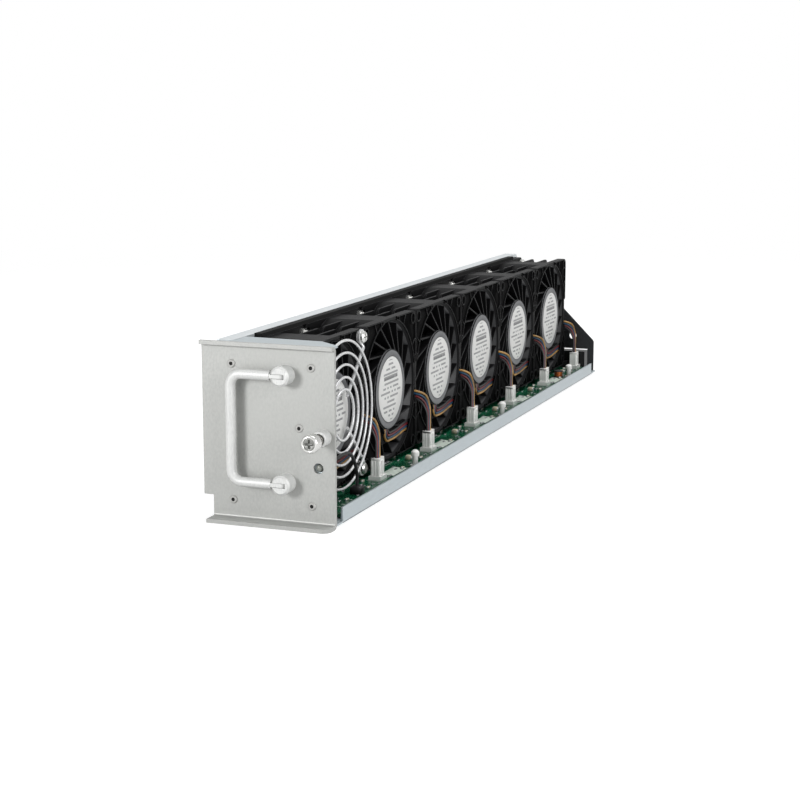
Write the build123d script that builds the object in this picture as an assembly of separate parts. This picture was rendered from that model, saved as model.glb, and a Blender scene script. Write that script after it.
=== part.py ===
from build123d import *
import math
import os

# A fan tray for a rack chassis: six axial fans in a row on a bent steel tray, with a control board
# beside them, a blind-mating connector at the rear and a pull handle on the front panel.
# X runs to the right as seen from the front, Y from the front panel to the rear, Z up. Millimetres.
# Everything is drawn with Y = 0 on the front face of the panel, and the last function moves it so
# that the origin lies under the middle of the tray.

# Fans
fan_count = 6
fan_size = 80.0
fan_depth = 38.0
fan_gap = 1.0
fan_corner = 4.0
fan_rim = 2.1
barrel_wall = 2.7
barrel_flat = 0.4
flange_thick = 4.5
mouth_bevel = 1.0
rib_thick = 1.2
rib_inset = 1.0
hole_inset = 4.25
hole_radius = 2.25
hub_radius = 22.5
hub_thick = 5.5
hub_proud = 0.5
vane_count = 19
vane_thick = 0.9
vane_depth = 7.6
vane_sweep = 33.0
vane_inset = 0.8
guide_seat = 0.02

# Fan motor and impeller
blade_count = 7
blade_thick = 1.5
blade_camber = 2.2
blade_root_width = 13.0
blade_tip_width = 25.0
tip_clearance = 1.3
cup_radius = 21.5
cup_wall = 1.4
cup_face = 1.6
cup_inset = 2.0
rotor_gap = 0.8
shaft_radius = 1.5
shaft_clearance = 0.05
bearing_radius = 4.0
bearing_length = 4.0
bearing_fit = 0.02
tube_wall = 1.2
tube_seat = 1.5
magnet_thick = 1.6
magnet_length = 18.0
stator_gap = 0.6
stator_length = 12.0
stator_slots = 6
label_radius = 18.4
label_thick = 0.2

# Steel tray, wall and front bulkhead
sheet = 1.0
base_lift = 1.4
fan_lift = 5.0
rail_height = 8.0
rail_start = 9.4
rail_short = 1.6
tab_width = 14.0
tab_height = 8.0
front_room = 7.6
rear_room = 9.4
wall_rise = 2.0
wall_flange_inset = 2.4
wall_front = 12.0
wall_foot = 8.0
wall_corner_drop = 14.0
wall_hole_clearance = 0.4
boss_radius = 3.0
boss_height = 0.6
bulkhead_top_depth = 24.0
bulkhead_side_gap = 0.7
bulkhead_right_inset = 3.7
bulkhead_corner = 13.0
bulkhead_foot = 8.0
gasket_width = 4.3
gasket_height = 2.2
gasket_front = 26.9
gasket_rear = 21.6

# Front panel
panel_width = 71.4
panel_sheet = 2.0
panel_rise = 1.5
panel_lip = 3.0
panel_foot = 8.8
panel_bend = 1.0
panel_overhang = 10.1
notch_width = 5.2
notch_height = 12.5
foot_corner = 4.5
rivet_edge = 11.0
rivet_left = 5.2
rivet_right = 12.3
rivet_head = 2.1
rivet_shank = 1.2
rivet_hole = 0.75
rivet_dome = 0.7

# Folding handle
handle_x = 9.8
handle_rise = 3.4
handle_span = 54.0
handle_leg = 27.4
bar_radius = 2.5
bar_bend = 6.0
bar_stand = 5.6
post_radius = 5.0
post_height = 8.2
post_bevel = 1.0
post_shank = 2.5
tang_thick = 2.0
tang_half = 2.2
slot_clearance = 0.2
slot_floor = 1.6
shoulder = 5.5
pin_radius = 0.8
pin_clearance = 0.05

# Captive screw
captive_inset = 5.7
captive_rise = 0.55
ferrule_radius = 4.0
ferrule_height = 7.0
ferrule_bore = 3.0
ferrule_lip_hole = 1.7
ferrule_lip = 2.0
ferrule_shank = 3.6
neck_radius = 1.4
thread_radius = 2.0
thread_length = 6.0
thread_gap = 0.3
knob_radius = 4.5
knob_length = 6.8
knob_bevel = 0.8
knob_gap = 5.0
recess_width = 1.0
recess_length = 4.4
recess_depth = 2.0
washer_radius = 3.4
washer_thick = 0.6
washer_gap = 0.1
spring_radius = 2.4
spring_wire = 0.25
spring_turns = 6

# Status lamp and its cable
lamp_inset = 8.8
lamp_drop = 15.8
lamp_radius = 2.0
lamp_recess = 0.7
lamp_bevel = 0.4
lamp_window = 2.65
lamp_flange = 3.2
lamp_flange_thick = 1.2
lamp_length = 6.0
lamp_cable = 0.9

# Finger guard
guard_ring_insets = (26.7, 20.4, 13.9, 7.8, 1.4)
guard_wire = 0.7
guard_strut = 0.9
guard_stand = 6.0
guard_weld = 0.02
eyelet_radius = 4.0
eyelet_hole = 2.2
eyelet_thick = 1.8
guard_elbow = 6.6

# Screws
screw_radius = 1.95
screw_head = 3.2
screw_head_height = 2.0
screw_reach = 10.0
nut_radius = 3.1
nut_height = 2.4

# Control board and what stands on it
board_left = 2.0
board_inset = 2.5
board_front = 14.0
board_rear_gap = 0.6
board_thick = 1.6
board_screw_x = 6.0
board_screw_radius = 1.4
board_head_radius = 2.6
board_head_height = 1.6
post_x_inset = 7.0
support_pin = 1.3
support_flange = 2.7
support_stem = 1.6
support_head = 2.3
support_height = 9.4
support_clearance = 0.1
plug_beside = 7.4
plug_after = 43.6
plug_size_x = 4.8
plug_size_y = 7.6
plug_top = 11.5
plug_pitch = 1.6
header_margin = 1.1
header_height = 2.2
header_floor = 0.8
plug_clearance = 0.1
capacitor_beside = 5.8
capacitor_after = 15.0
capacitor_size = (4.0, 3.0, 2.6)
choke_beside = 8.3
choke_back = 3.0
choke_radius = 3.4
choke_height = 5.0
lamp_header_beside = 10.2
lamp_header_after = 7.4
lamp_header_size = (6.0, 6.5, 4.4)
chip_x = 8.5
chip_size = (6.0, 9.0, 1.4)

# Fan leads
lead_radius = 0.65
lead_count = 4
channel_floor = 2.2
channel_plate = 1.6
channel_margin = 1.05
channel_corner = 2.6
notch_margin = 3.6
slot_low = 13.5
slot_high = 5.5
slot_depth = 0.6

# Rear plate and connector
rear_sheet = 1.2
rear_inset = 1.5
rear_side = 24.7
rear_corner = 3.0
rear_flange = 8.0
rear_flange_drop = 3.0
side_rivet_low = 18.0
side_rivet_drop = 12.0
guide_hole_x = 18.0
guide_hole_z = 28.2
guide_hole_radius = 2.8
window_right = 6.2
window_width = 33.5
window_top = 18.4
connector_gap = 2.0
connector_top = 16.4
connector_rear = 8.0
connector_tail = 6.5
connector_tail_height = 4.4
connector_mouth = 6.0
connector_wall = 2.0
contact_margin = 4.0
contact_recess = 1.0
contact_rows = 2.0

# Places worked out from the sizes above
fan_pitch = fan_size + fan_gap
floor_top = base_lift + sheet
fan_bottom = floor_top + fan_lift
fan_z = fan_bottom + fan_size / 2
fan_top = fan_bottom + fan_size
wall_top = fan_top + wall_rise
panel_height = wall_top + panel_rise
half_panel = panel_width / 2
wall_outer = -half_panel + panel_overhang
wall_inner = wall_outer + sheet
fan_right = wall_inner + fan_depth
bulkhead_rear = panel_sheet + sheet
row_front = bulkhead_rear + front_room
fan_y = row_front + fan_size / 2
row_rear = row_front + fan_count * fan_pitch - fan_gap
rear_y = row_rear + rear_room
flange_top = wall_top - wall_corner_drop - rear_flange_drop
rail_end = row_rear - rail_short
tray_rear = rear_y + rear_sheet
fan_bore = fan_size / 2 - fan_rim
barrel_radius = fan_bore + barrel_wall
barrel_half = fan_size / 2 - barrel_flat
bore_middle = fan_right - fan_depth / 2
hub_face = fan_right + hub_proud
hub_inner = hub_face - hub_thick
cup_end = wall_inner + cup_inset
cup_open = hub_inner - rotor_gap
half_hole = fan_size / 2 - hole_inset
board_bottom = floor_top + boss_height
board_top = board_bottom + board_thick
guard_rings = [fan_size / 2 - inset for inset in guard_ring_insets]
board_right = half_panel - board_inset
board_rear = rear_y - board_rear_gap
rivet_low = rivet_edge
rivet_high = panel_height - rivet_edge - 0.1
captive_x = half_panel - captive_inset
captive_z = panel_height / 2 + captive_rise
handle_z = panel_height / 2 + handle_rise
lamp_x = half_panel - lamp_inset
lamp_z = captive_z - lamp_drop
plug_x = fan_right + plug_beside
capacitor_x = fan_right + capacitor_beside
choke_x = fan_right + choke_beside
lamp_header_x = fan_right + lamp_header_beside
lamp_header_y = fan_y + lamp_header_after
knob_rear = -ferrule_height - knob_gap
knob_front = knob_rear - knob_length
connector_end = tray_rear + connector_rear
connector_right = half_panel - window_right - connector_gap
connector_left = half_panel - window_right - window_width + connector_gap
lead_step = 1.0 / (lead_count - 1)


def slab(x0, x1, y0, y1, z0, z1):
    # A block between two corners.
    return Pos((x0 + x1) / 2, (y0 + y1) / 2, (z0 + z1) / 2) * Box(x1 - x0, y1 - y0, z1 - z0)


def rod_x(radius, x0, x1, y, z):
    return Pos((x0 + x1) / 2, y, z) * Rot(0, 90, 0) * Cylinder(radius, x1 - x0)


def rod_y(radius, y0, y1, x, z):
    return Pos(x, (y0 + y1) / 2, z) * Rot(90, 0, 0) * Cylinder(radius, y1 - y0)


def rod_z(radius, z0, z1, x, y):
    return Pos(x, y, (z0 + z1) / 2) * Cylinder(radius, z1 - z0)


def plate_x(points, x0, x1):
    # A flat shape given by (Y, Z) points, as thick as from x0 to x1.
    return extrude(Plane.YZ.offset(x0) * make_face(Polyline(*points, close=True)), amount=x1 - x0)


def plate_y(points, y0, y1):
    # A flat shape given by (X, Z) points, as thick as from y0 to y1.
    face = make_face(Polyline(*[(x, -z) for x, z in points], close=True))
    return Pos(0, y0, 0) * Rot(-90, 0, 0) * extrude(face, amount=y1 - y0)


def plate_z(points, z0, z1):
    # A flat shape given by (X, Y) points, as thick as from z0 to z1.
    return Pos(0, 0, z0) * extrude(make_face(Polyline(*points, close=True)), amount=z1 - z0)


def near_vertex(shape, x, y):
    return min(shape.vertices(), key=lambda v: math.hypot(v.X - x, v.Y - y))


def rivet_places():
    # The four corner rivets of the panel and the one beside the captive screw, as (X, Z).
    left = wall_inner + rivet_left
    right = half_panel - rivet_right
    corners = [(x, z) for x in (left, right) for z in (rivet_low, rivet_high)]
    return corners + [(captive_x - 13.1, captive_z + 3.6)]


def front_panel():
    # Bent sheet with a short flange at the top, a deeper one at the foot and a notch at lower left.
    top = panel_height
    profile = make_face(
        Polyline(
            (-panel_lip, top),
            (panel_sheet, top),
            (panel_sheet, 0),
            (-panel_foot, 0),
            (-panel_foot, panel_sheet),
            (0, panel_sheet),
            (0, top - panel_sheet),
            (-panel_lip, top - panel_sheet),
            close=True,
        )
    )
    inner = [near_vertex(profile, 0, panel_sheet), near_vertex(profile, 0, top - panel_sheet)]
    profile = fillet(inner, panel_bend)
    outer = [near_vertex(profile, panel_sheet, 0), near_vertex(profile, panel_sheet, top)]
    profile = fillet(outer, panel_bend + panel_sheet)
    panel = extrude(Plane.YZ.offset(-half_panel) * profile, amount=panel_width)
    notch_end = -half_panel + notch_width
    panel -= slab(-half_panel - 1, notch_end, -panel_foot - 1, panel_sheet + 1, -1, notch_height)
    front_right = [e for e in panel.edges().filter_by(Axis.Z) if e.center().X > half_panel - 0.1]
    front_right = [e for e in front_right if abs(e.center().Y + panel_foot) < 0.1]
    panel = fillet(front_right, foot_corner)
    for x, z in rivet_places():
        panel -= rod_y(rivet_shank + 0.1, -1, panel_sheet + 1, x, z)
    for z in post_heights():
        panel -= rod_y(post_shank + 0.1, -1, panel_sheet + 1, handle_x, z)
    panel -= rod_y(ferrule_shank, -1, panel_sheet + 1, captive_x, captive_z)
    panel -= rod_y(lamp_window, -1, panel_sheet + 1, lamp_x, lamp_z)
    return panel


def post_heights():
    return (handle_z - handle_span / 2, handle_z + handle_span / 2)


def front_bulkhead():
    # Steel plate behind the panel, with a top flange over the first fan and a foot on the tray.
    right = half_panel - bulkhead_right_inset
    top = wall_top
    plate = slab(wall_outer, right, panel_sheet, bulkhead_rear, floor_top, top)
    left = wall_inner + bulkhead_side_gap
    rear = bulkhead_rear + bulkhead_top_depth - 1
    flange = plate_z(
        (
            (left, panel_sheet),
            (right, panel_sheet),
            (right, rear - bulkhead_corner),
            (right - bulkhead_corner, rear - 2),
            (left, rear),
        ),
        top - sheet,
        top,
    )
    # The tab on the left closes the gap in front of the wall's own flange.
    tab = slab(wall_outer - 6.0, left, panel_sheet, wall_front - bulkhead_side_gap, top - sheet, top)
    foot_left, foot_rear = wall_inner + wall_foot + 1, bulkhead_rear + bulkhead_foot
    foot = slab(foot_left, right, panel_sheet, foot_rear, floor_top, floor_top + sheet)
    body = plate + flange + tab + foot
    for x, z in rivet_places():
        body -= rod_y(rivet_shank + 0.1, panel_sheet - 1, bulkhead_rear + 1, x, z)
    for z in post_heights():
        body -= rod_y(post_shank + 0.1, panel_sheet - 1, bulkhead_rear + 1, handle_x, z)
    body -= rod_y(ferrule_shank, panel_sheet - 1, bulkhead_rear + 1, captive_x, captive_z)
    body -= rod_y(lamp_radius + 0.1, panel_sheet - 1, bulkhead_rear + 1, lamp_x, lamp_z)
    for x, y in tray_rivet_places():
        body -= rod_z(rivet_shank + 0.1, floor_top - 1, floor_top + sheet + 1, x, y)
    return body


def panel_rivets():
    # Blind rivets: a domed head with the mandrel's hole, a shank and the bulge behind.
    rivets = []
    for x, z in rivet_places():
        head = rod_y(rivet_head, -rivet_dome, 0, x, z)
        head = chamfer(head.edges().sort_by(Axis.Y)[0], rivet_dome * 0.6)
        body = head + rod_y(rivet_shank, 0, bulkhead_rear, x, z)
        body += rod_y(rivet_shank + 0.6, bulkhead_rear, bulkhead_rear + 1.2, x, z)
        rivets.append(body - rod_y(rivet_hole, -rivet_dome - 1, panel_sheet, x, z))
    return rivets


def base_tray():
    # Floor of the tray, its upturned right rail and the pressed bosses that carry the board.
    floor = slab(wall_outer, half_panel, panel_sheet, tray_rear, base_lift, floor_top)
    rail = slab(half_panel - sheet, half_panel, rail_start, rail_end, base_lift, base_lift + rail_height)
    tray = floor + rail
    tab_right, tab_top = wall_inner + tab_width, floor_top + tab_height
    tray += slab(wall_inner + rear_sheet, tab_right, rear_y - sheet, rear_y, floor_top, tab_top)
    for x, y in support_places() + board_screw_places():
        tray += rod_z(boss_radius, floor_top, board_bottom, x, y)
    for x, y in support_places():
        tray -= rod_z(support_pin + support_clearance, base_lift - 1, board_bottom + 1, x, y)
    for x, y in board_screw_places():
        tray -= rod_z(board_screw_radius + 0.05, base_lift - 1, board_bottom + 1, x, y)
    for x, y in tray_rivet_places():
        tray -= rod_z(rivet_shank + 0.1, base_lift - 1, floor_top + 1, x, y)
    for x, z in rear_rivet_places():
        tray -= rod_y(rivet_shank + 0.1, rear_y - sheet - 1, rear_y + 1, x, z)
    return tray


def tray_rivet_places():
    # Rivets through the tray's floor: along the wall's foot and through the bulkhead's foot, as (X, Y).
    along = [wall_front + 14 + i * (row_rear - wall_front - 30) / 4 for i in range(5)]
    places = [(wall_inner + wall_foot * 0.6, y) for y in along]
    foot_y = bulkhead_rear + bulkhead_foot * 0.6
    return places + [(-4.0, foot_y), (half_panel - rivet_right, foot_y)]


def tray_rivets():
    # Solid rivets with flat heads, flush under the floor.
    rivets = []
    for x, y in tray_rivet_places():
        body = rod_z(rivet_shank, base_lift, floor_top + sheet, x, y)
        rivets.append(body + rod_z(rivet_head, floor_top + sheet, floor_top + sheet + 0.8, x, y))
    for x, z in rear_rivet_places():
        body = rod_y(rivet_shank, rear_y - sheet, tray_rear, x, z)
        rivets.append(body + rod_y(rivet_head, tray_rear, tray_rear + 0.8, x, z))
    for y, z in side_rivet_places():
        body = rod_x(rivet_shank, wall_outer, wall_inner + rear_sheet, y, z)
        rivets.append(body + rod_x(rivet_head, wall_outer - 0.8, wall_outer, y, z))
    return rivets


def rear_rivet_places():
    return [(wall_inner + 8.0, floor_top + 4.6)]


def side_rivet_places():
    y = rear_y - rear_flange / 2
    return [(y, floor_top + side_rivet_low), (y, flange_top - side_rivet_drop)]


def fan_wall():
    # Upright sheet on the left that carries the fans, with a round opening for each of them.
    top = wall_top
    rear = rear_y
    outline = (
        (wall_front, floor_top),
        (rear, floor_top),
        (rear, top - wall_corner_drop),
        (row_rear, top),
        (wall_front, top),
    )
    wall = plate_x(outline, wall_outer, wall_inner)
    wall += slab(-half_panel + wall_flange_inset, wall_inner, wall_front, row_rear, top - sheet, top)
    wall += slab(wall_outer, wall_inner + wall_foot, wall_front, row_rear, floor_top, floor_top + sheet)
    for k in range(fan_count):
        y = fan_y + k * fan_pitch
        wall -= rod_x(fan_bore + wall_hole_clearance, wall_outer - 1, wall_inner + 1, y, fan_z)
        for dy, dz in fan_screw_corners():
            wall -= rod_x(screw_radius + 0.1, wall_outer - 1, wall_inner + 1, y + dy, fan_z + dz)
    for x, y in tray_rivet_places():
        if x < wall_inner + wall_foot:
            wall -= rod_z(rivet_shank + 0.1, floor_top - 1, floor_top + sheet + 1, x, y)
    for y, z in side_rivet_places():
        wall -= rod_x(rivet_shank + 0.1, wall_outer - 1, wall_inner + 1, y, z)
    return wall


def fan_screw_corners():
    # Each fan is held to the wall at two corners, across from each other.
    return ((half_hole, half_hole), (-half_hole, -half_hole))


def fan_screws():
    screws = []
    for k in range(fan_count):
        for dy, dz in fan_screw_corners():
            y, z = fan_y + k * fan_pitch + dy, fan_z + dz
            head = rod_x(screw_head, wall_outer - screw_head_height, wall_outer, y, z)
            head = chamfer(head.edges().sort_by(Axis.X)[0], screw_head_height * 0.4)
            reach = wall_inner + flange_thick + nut_height + 1.5
            screws.append(head + rod_x(screw_radius, wall_outer, reach, y, z))
    return screws


def fan_nuts():
    nuts = []
    for k in range(fan_count):
        for dy, dz in fan_screw_corners():
            y, z = fan_y + k * fan_pitch + dy, fan_z + dz
            x = wall_inner + flange_thick
            nut = extrude(Plane.YZ.offset(x) * RegularPolygon(nut_radius, 6), amount=nut_height)
            nuts.append(Pos(0, y, z) * nut - rod_x(screw_radius, x - 1, x + nut_height + 1, y, z))
    return nuts


def wall_gasket():
    # Foam strip along the fans' left flanges, against the wall.
    front = row_front + gasket_front
    rear = row_rear - gasket_rear
    return slab(wall_inner, wall_inner + gasket_width, front, rear, fan_top, fan_top + gasket_height)


def lead_guides():
    # The two outer leads of a fan's bundle, as (X, dY, dZ) from the fan's centre; the others lie
    # between them. From the hub they lie in the channel, dive through the flange, climb between
    # two fans and leave through the slot at the fan's edge, then bend down to the plug.
    x = fan_right - channel_floor + lead_radius + 0.1
    gap = fan_pitch / 2
    drop = board_top + plug_top - fan_z
    first = [
        (x, 0.0, -18.7),
        (x, 0.0, -25.4),
        (x, 11.5, -25.6),
        (x, 24.0, -23.9),
        (x, 35.0, -23.4),
        (x - 6.4, 35.4, -23.0),
        (x - 6.4, gap, -19.5),
        (x - 6.4, gap, -11.9),
        (x + 2.6, gap + 0.1, -12.1),
        (x + 5.9, gap + 0.9, -14.6),
        (plug_x, plug_after - 1.5 * plug_pitch, -20.0),
        (plug_x, plug_after - 1.5 * plug_pitch, drop),
    ]
    last = [
        (x, -4.5, -18.7),
        (x, -4.5, -29.6),
        (x, 11.0, -30.0),
        (x, 24.5, -28.3),
        (x, 32.4, -27.9),
        (x - 10.9, 33.2, -27.4),
        (x - 10.9, gap, -18.0),
        (x - 10.9, gap, -7.4),
        (x + 2.8, gap + 0.1, -7.6),
        (x + 7.3, gap + 3.1, -9.8),
        (plug_x, plug_after + 1.5 * plug_pitch, -17.0),
        (plug_x, plug_after + 1.5 * plug_pitch, drop),
    ]
    return first, last


def bend_radii(points):
    # Each bend takes 0.45 of the shorter run beside it.
    radii = []
    for a, b, c in zip(points, points[1:], points[2:]):
        run_in, run_out = Vector(*b) - Vector(*a), Vector(*c) - Vector(*b)
        half_turn = math.radians(run_in.get_angle(run_out)) / 2
        radii.append(0.45 * min(run_in.length, run_out.length) / math.tan(half_turn))
    return radii


def tube(points, radius):
    # A round tube along straight runs joined by tangent arcs.
    path = FilletPolyline(*points, radius=bend_radii(points))
    start = Plane(path @ 0, z_dir=path % 0)
    return sweep(start * Circle(radius), path=path)


def leads(number):
    # One colour of lead, for every fan.
    first, last = lead_guides()
    share = number * lead_step
    route = [tuple(p + (q - p) * share for p, q in zip(a, b)) for a, b in zip(first, last)]
    tubes = []
    for k in range(fan_count):
        y = fan_y + k * fan_pitch
        tubes.append(tube([(px, y + py, fan_z + pz) for px, py, pz in route], lead_radius))
    print("lead", number, "radii", [round(r, 1) for r in bend_radii(route)])
    return tubes


def channel_outline():
    # The strip of the fan's face in which the leads lie, as (dY, dZ).
    first, last = lead_guides()
    m = channel_margin
    (_, ay, az), (_, by, bz), (_, cy, cz), (_, dy, dz), (_, ey, ez) = first[:5]
    cut = channel_corner
    inner = [(ay + m, az), (by + m, bz + m + cut), (by + m + cut, bz + m), (cy, cz + m)]
    inner += [(dy, dz + m), (ey + m, ez + m)]
    (_, ay, az), (_, by, bz), (_, cy, cz), (_, dy, dz), (_, ey, ez) = last[:5]
    outer = [(first[4][1] + m, ez - m), (dy, dz - m), (cy, cz - m), (by - m, bz - m), (ay - m, az)]
    return inner + outer


def fan_frame():
    # Square housing with two flanges, ribs at the corners and a round barrel. Drawn for the first fan.
    left, right = wall_inner, fan_right
    square = Plane.YZ * RectangleRounded(fan_size, fan_size, fan_corner)
    rib_size = fan_size - 2 * rib_inset
    rib = Plane.YZ * RectangleRounded(rib_size, rib_size, fan_corner)
    barrel = Plane.YZ * (Circle(barrel_radius) & Rectangle(2 * barrel_half, 2 * barrel_half))
    shell = extrude(Pos(left, 0, 0) * barrel, amount=fan_depth)
    shell += extrude(Pos(left, 0, 0) * square, amount=flange_thick)
    shell += extrude(Pos(right - flange_thick, 0, 0) * square, amount=flange_thick)
    bay = (fan_depth - 2 * flange_thick - 2 * rib_thick) / 3
    for i in (1, 2):
        rib_x = right - flange_thick - i * bay - i * rib_thick
        shell += extrude(Pos(rib_x, 0, 0) * rib, amount=rib_thick)
    shell -= rod_x(fan_bore, left - 1, right + 1, 0, 0)
    rims = [e for e in shell.edges().filter_by(GeomType.CIRCLE) if abs(e.radius - fan_bore) < 0.01]
    shell = chamfer(rims, mouth_bevel)
    for sy in (-1, 1):
        for sz in (-1, 1):
            hole_y, hole_z = sy * half_hole, sz * half_hole
            shell -= rod_x(hole_radius, left - 1, left + flange_thick + 1, hole_y, hole_z)
            shell -= rod_x(hole_radius, right - flange_thick - 1, right + 1, hole_y, hole_z)
        edge = sy * (fan_size / 2 - slot_depth + 5)
        middle = -(slot_low + slot_high) / 2
        shell -= Pos(right, edge, middle) * Box(2 * flange_thick, 10, slot_low - slot_high)
    shell -= plate_x(channel_outline(), right - channel_floor, right + 1)
    first, last = lead_guides()
    hole_left = last[4][1] - notch_margin
    hole_right = first[4][1] + channel_margin
    hole_low = last[4][2] - channel_margin
    hole_high = first[4][2] + channel_margin
    shell -= slab(right - flange_thick - 1, right + 1, hole_left, hole_right, hole_low, hole_high)
    return Pos(0, fan_y, fan_z) * shell


def bearing_tube_end():
    return cup_end + cup_face + 6.0


def fan_guides():
    # Hub plate of each fan with its swept guide vanes and the floor of the lead channel, pressed
    # into the outlet of the housing. The hub has a round seat for the bearing tube.
    right = fan_right
    vane_end = right - vane_inset
    floor = right - channel_floor
    guide = rod_x(hub_radius, hub_inner, hub_face, 0, 0)
    guide += [guide_vane(i * 360.0 / vane_count, vane_end) for i in range(vane_count)]
    guide += plate_x(channel_outline(), floor - channel_plate, floor)
    guide &= rod_x(fan_bore - guide_seat, hub_inner - vane_depth, right + 1, 0, 0)
    guide -= plate_x(channel_outline(), floor, right + 1)
    guide -= rod_x(bearing_radius + tube_wall, hub_inner - 1, hub_inner + tube_seat, 0, 0)
    return [Pos(0, fan_y + k * fan_pitch, fan_z) * guide for k in range(fan_count)]


def guide_vane(angle, vane_end):
    # A flat vane from the hub to the barrel, swept so that its outer end leads.
    a, b = math.radians(angle), math.radians(angle + vane_sweep)
    inner, outer = hub_radius - 0.6, fan_bore + 0.6
    y0, z0 = inner * math.cos(a), inner * math.sin(a)
    y1, z1 = outer * math.cos(b), outer * math.sin(b)
    run = math.hypot(y1 - y0, z1 - z0)
    ny, nz = -(z1 - z0) / run * vane_thick / 2, (y1 - y0) / run * vane_thick / 2
    outline = ((y0 + ny, z0 + nz), (y1 + ny, z1 + nz), (y1 - ny, z1 - nz), (y0 - ny, z0 - nz))
    return plate_x(outline, vane_end - vane_depth, vane_end)


def blade_section(radius, width, x0, x1):
    # A bent strip across the blade at one radius: along X from x0 to x1, and across by its width.
    length = math.hypot(x1 - x0, width)
    nx, ny = -width / length * blade_thick / 2, (x1 - x0) / length * blade_thick / 2
    line = [(x0, -width / 2), ((x0 + x1) / 2, blade_camber), (x1, width / 2)]
    near = [(x + nx, y + ny) for x, y in line]
    far = [(x - nx, y - ny) for x, y in reversed(line)]
    return Pos(0, 0, radius) * make_face(Polyline(*near, *far, close=True))


def fan_impeller():
    # Motor cup with twisted blades around it. Drawn for the first fan.
    y, z = fan_y, fan_z
    tip = fan_bore - tip_clearance
    vane_start = fan_right - vane_inset - vane_depth
    x0, x1 = cup_end + 1.0, vane_start - 3.0
    root = blade_section(cup_radius - 3.5, blade_root_width, x0, x1)
    end = blade_section(tip + 3.0, blade_tip_width, x0 + 1.5, x1)
    blade = loft([root.face(), end.face()], ruled=True)
    blade = blade & rod_x(tip, cup_end, cup_open, 0, 0)
    blade = blade - rod_x(cup_radius - cup_wall / 2, cup_end - 1, cup_open + 1, 0, 0)
    cup = rod_x(cup_radius, cup_end, cup_open, 0, 0)
    cup -= rod_x(cup_radius - cup_wall, cup_end + cup_face, cup_open + 1, 0, 0)
    cup += rod_x(bearing_radius, cup_end + cup_face - 0.2, cup_end + cup_face + 4.0, 0, 0)
    cup -= rod_x(shaft_radius, cup_end + 0.6, cup_open + 1, 0, 0)
    cup += [Rot(i * 360.0 / blade_count, 0, 0) * blade for i in range(blade_count)]
    return Pos(0, y, z) * cup


def fan_shaft():
    return rod_x(shaft_radius, cup_end + 0.6, hub_inner - 0.4, fan_y, fan_z)


def fan_magnet():
    # Steel ring with the magnets on its inside, in the motor cup.
    outer = cup_radius - cup_wall
    start = cup_open - 1.0 - magnet_length
    ring = rod_x(outer - bearing_fit, start, cup_open - 1.0, fan_y, fan_z)
    return ring - rod_x(outer - magnet_thick, start - 1, cup_open, fan_y, fan_z)


def fan_bearings():
    # A turned tube in the seat of each hub, and two ball bearings in it.
    rings = []
    for k in range(fan_count):
        y = fan_y + k * fan_pitch
        holder = rod_x(bearing_radius + tube_wall, bearing_tube_end(), hub_inner + tube_seat, y, fan_z)
        hole = rod_x(bearing_radius, bearing_tube_end() - 1, hub_inner + tube_seat + 1, y, fan_z)
        rings.append(holder - hole)
        for x in (bearing_tube_end() + 0.3, hub_inner - bearing_length):
            ring = rod_x(bearing_radius - bearing_fit, x, x + bearing_length, y, fan_z)
            hole = rod_x(shaft_radius + shaft_clearance, x - 1, x + bearing_length + 1, y, fan_z)
            rings.append(ring - hole)
    return rings


def fan_stators():
    # Slotted core with its windings, on the tube of each hub.
    outer = cup_radius - cup_wall - magnet_thick - stator_gap
    inner = bearing_radius + tube_wall + bearing_fit
    end = cup_open - 4.0
    cores = []
    for k in range(fan_count):
        core = rod_x(outer, end - stator_length, end, 0, 0)
        core -= rod_x(inner, end - stator_length - 1, end + 1, 0, 0)
        for i in range(stator_slots):
            cut = slab(end - stator_length - 1, end + 1, inner + 4.0, outer + 1, -0.8, 0.8)
            core -= Rot(i * 360.0 / stator_slots, 0, 0) * cut
        cores.append(Pos(0, fan_y + k * fan_pitch, fan_z) * core)
    return cores


def fan_labels():
    discs = []
    for k in range(fan_count):
        y = fan_y + k * fan_pitch
        discs.append(rod_x(label_radius, hub_face, hub_face + label_thick, y, fan_z))
    return discs


def finger_guard():
    # Wire guard over the first fan: five rings laid on four wires with eyelets at the corners. Rings
    # and wires stay separate solids, because they are spot-welded where they cross.
    ring_x = fan_right + guard_stand
    strut_x = ring_x - guard_wire - guard_strut - guard_weld
    rings = [revolve(Pos(ring_x, ring, 0) * Circle(guard_wire), axis=Axis.X) for ring in guard_rings]
    corner = half_hole * math.sqrt(2)
    inner = guard_rings[0] - 2 * guard_wire
    elbow = corner - guard_elbow
    end = corner - eyelet_radius + 0.1
    run = [(strut_x, inner, 0), (strut_x, elbow, 0), (fan_right + eyelet_thick / 2, end, 0)]
    path = FilletPolyline(*run, radius=1.5)
    strut = sweep(Plane(path @ 0, z_dir=path % 0) * Circle(guard_strut), path=path)
    strut += rod_x(eyelet_radius, fan_right, fan_right + eyelet_thick, corner, 0)
    strut -= rod_x(eyelet_hole, fan_right - 1, ring_x + 1, corner, 0)
    struts = [Rot(45 + 90 * i, 0, 0) * strut for i in range(4)]
    return [Pos(0, fan_y, fan_z) * wire for wire in rings + struts]


def guard_screws():
    screws = []
    seat = fan_right + eyelet_thick
    for sy in (-1, 1):
        for sz in (-1, 1):
            y, z = fan_y + sy * half_hole, fan_z + sz * half_hole
            head = rod_x(screw_head, seat, seat + screw_head_height, y, z)
            head = chamfer(head.edges().sort_by(Axis.X)[-1], screw_head_height * 0.4)
            head -= slab(seat + 1, seat + screw_head_height + 1, y - 2.2, y + 2.2, z - 0.4, z + 0.4)
            head -= slab(seat + 1, seat + screw_head_height + 1, y - 0.4, y + 0.4, z - 2.2, z + 2.2)
            screws.append(head + rod_x(screw_radius, seat - screw_reach, seat, y, z))
    return screws


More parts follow.
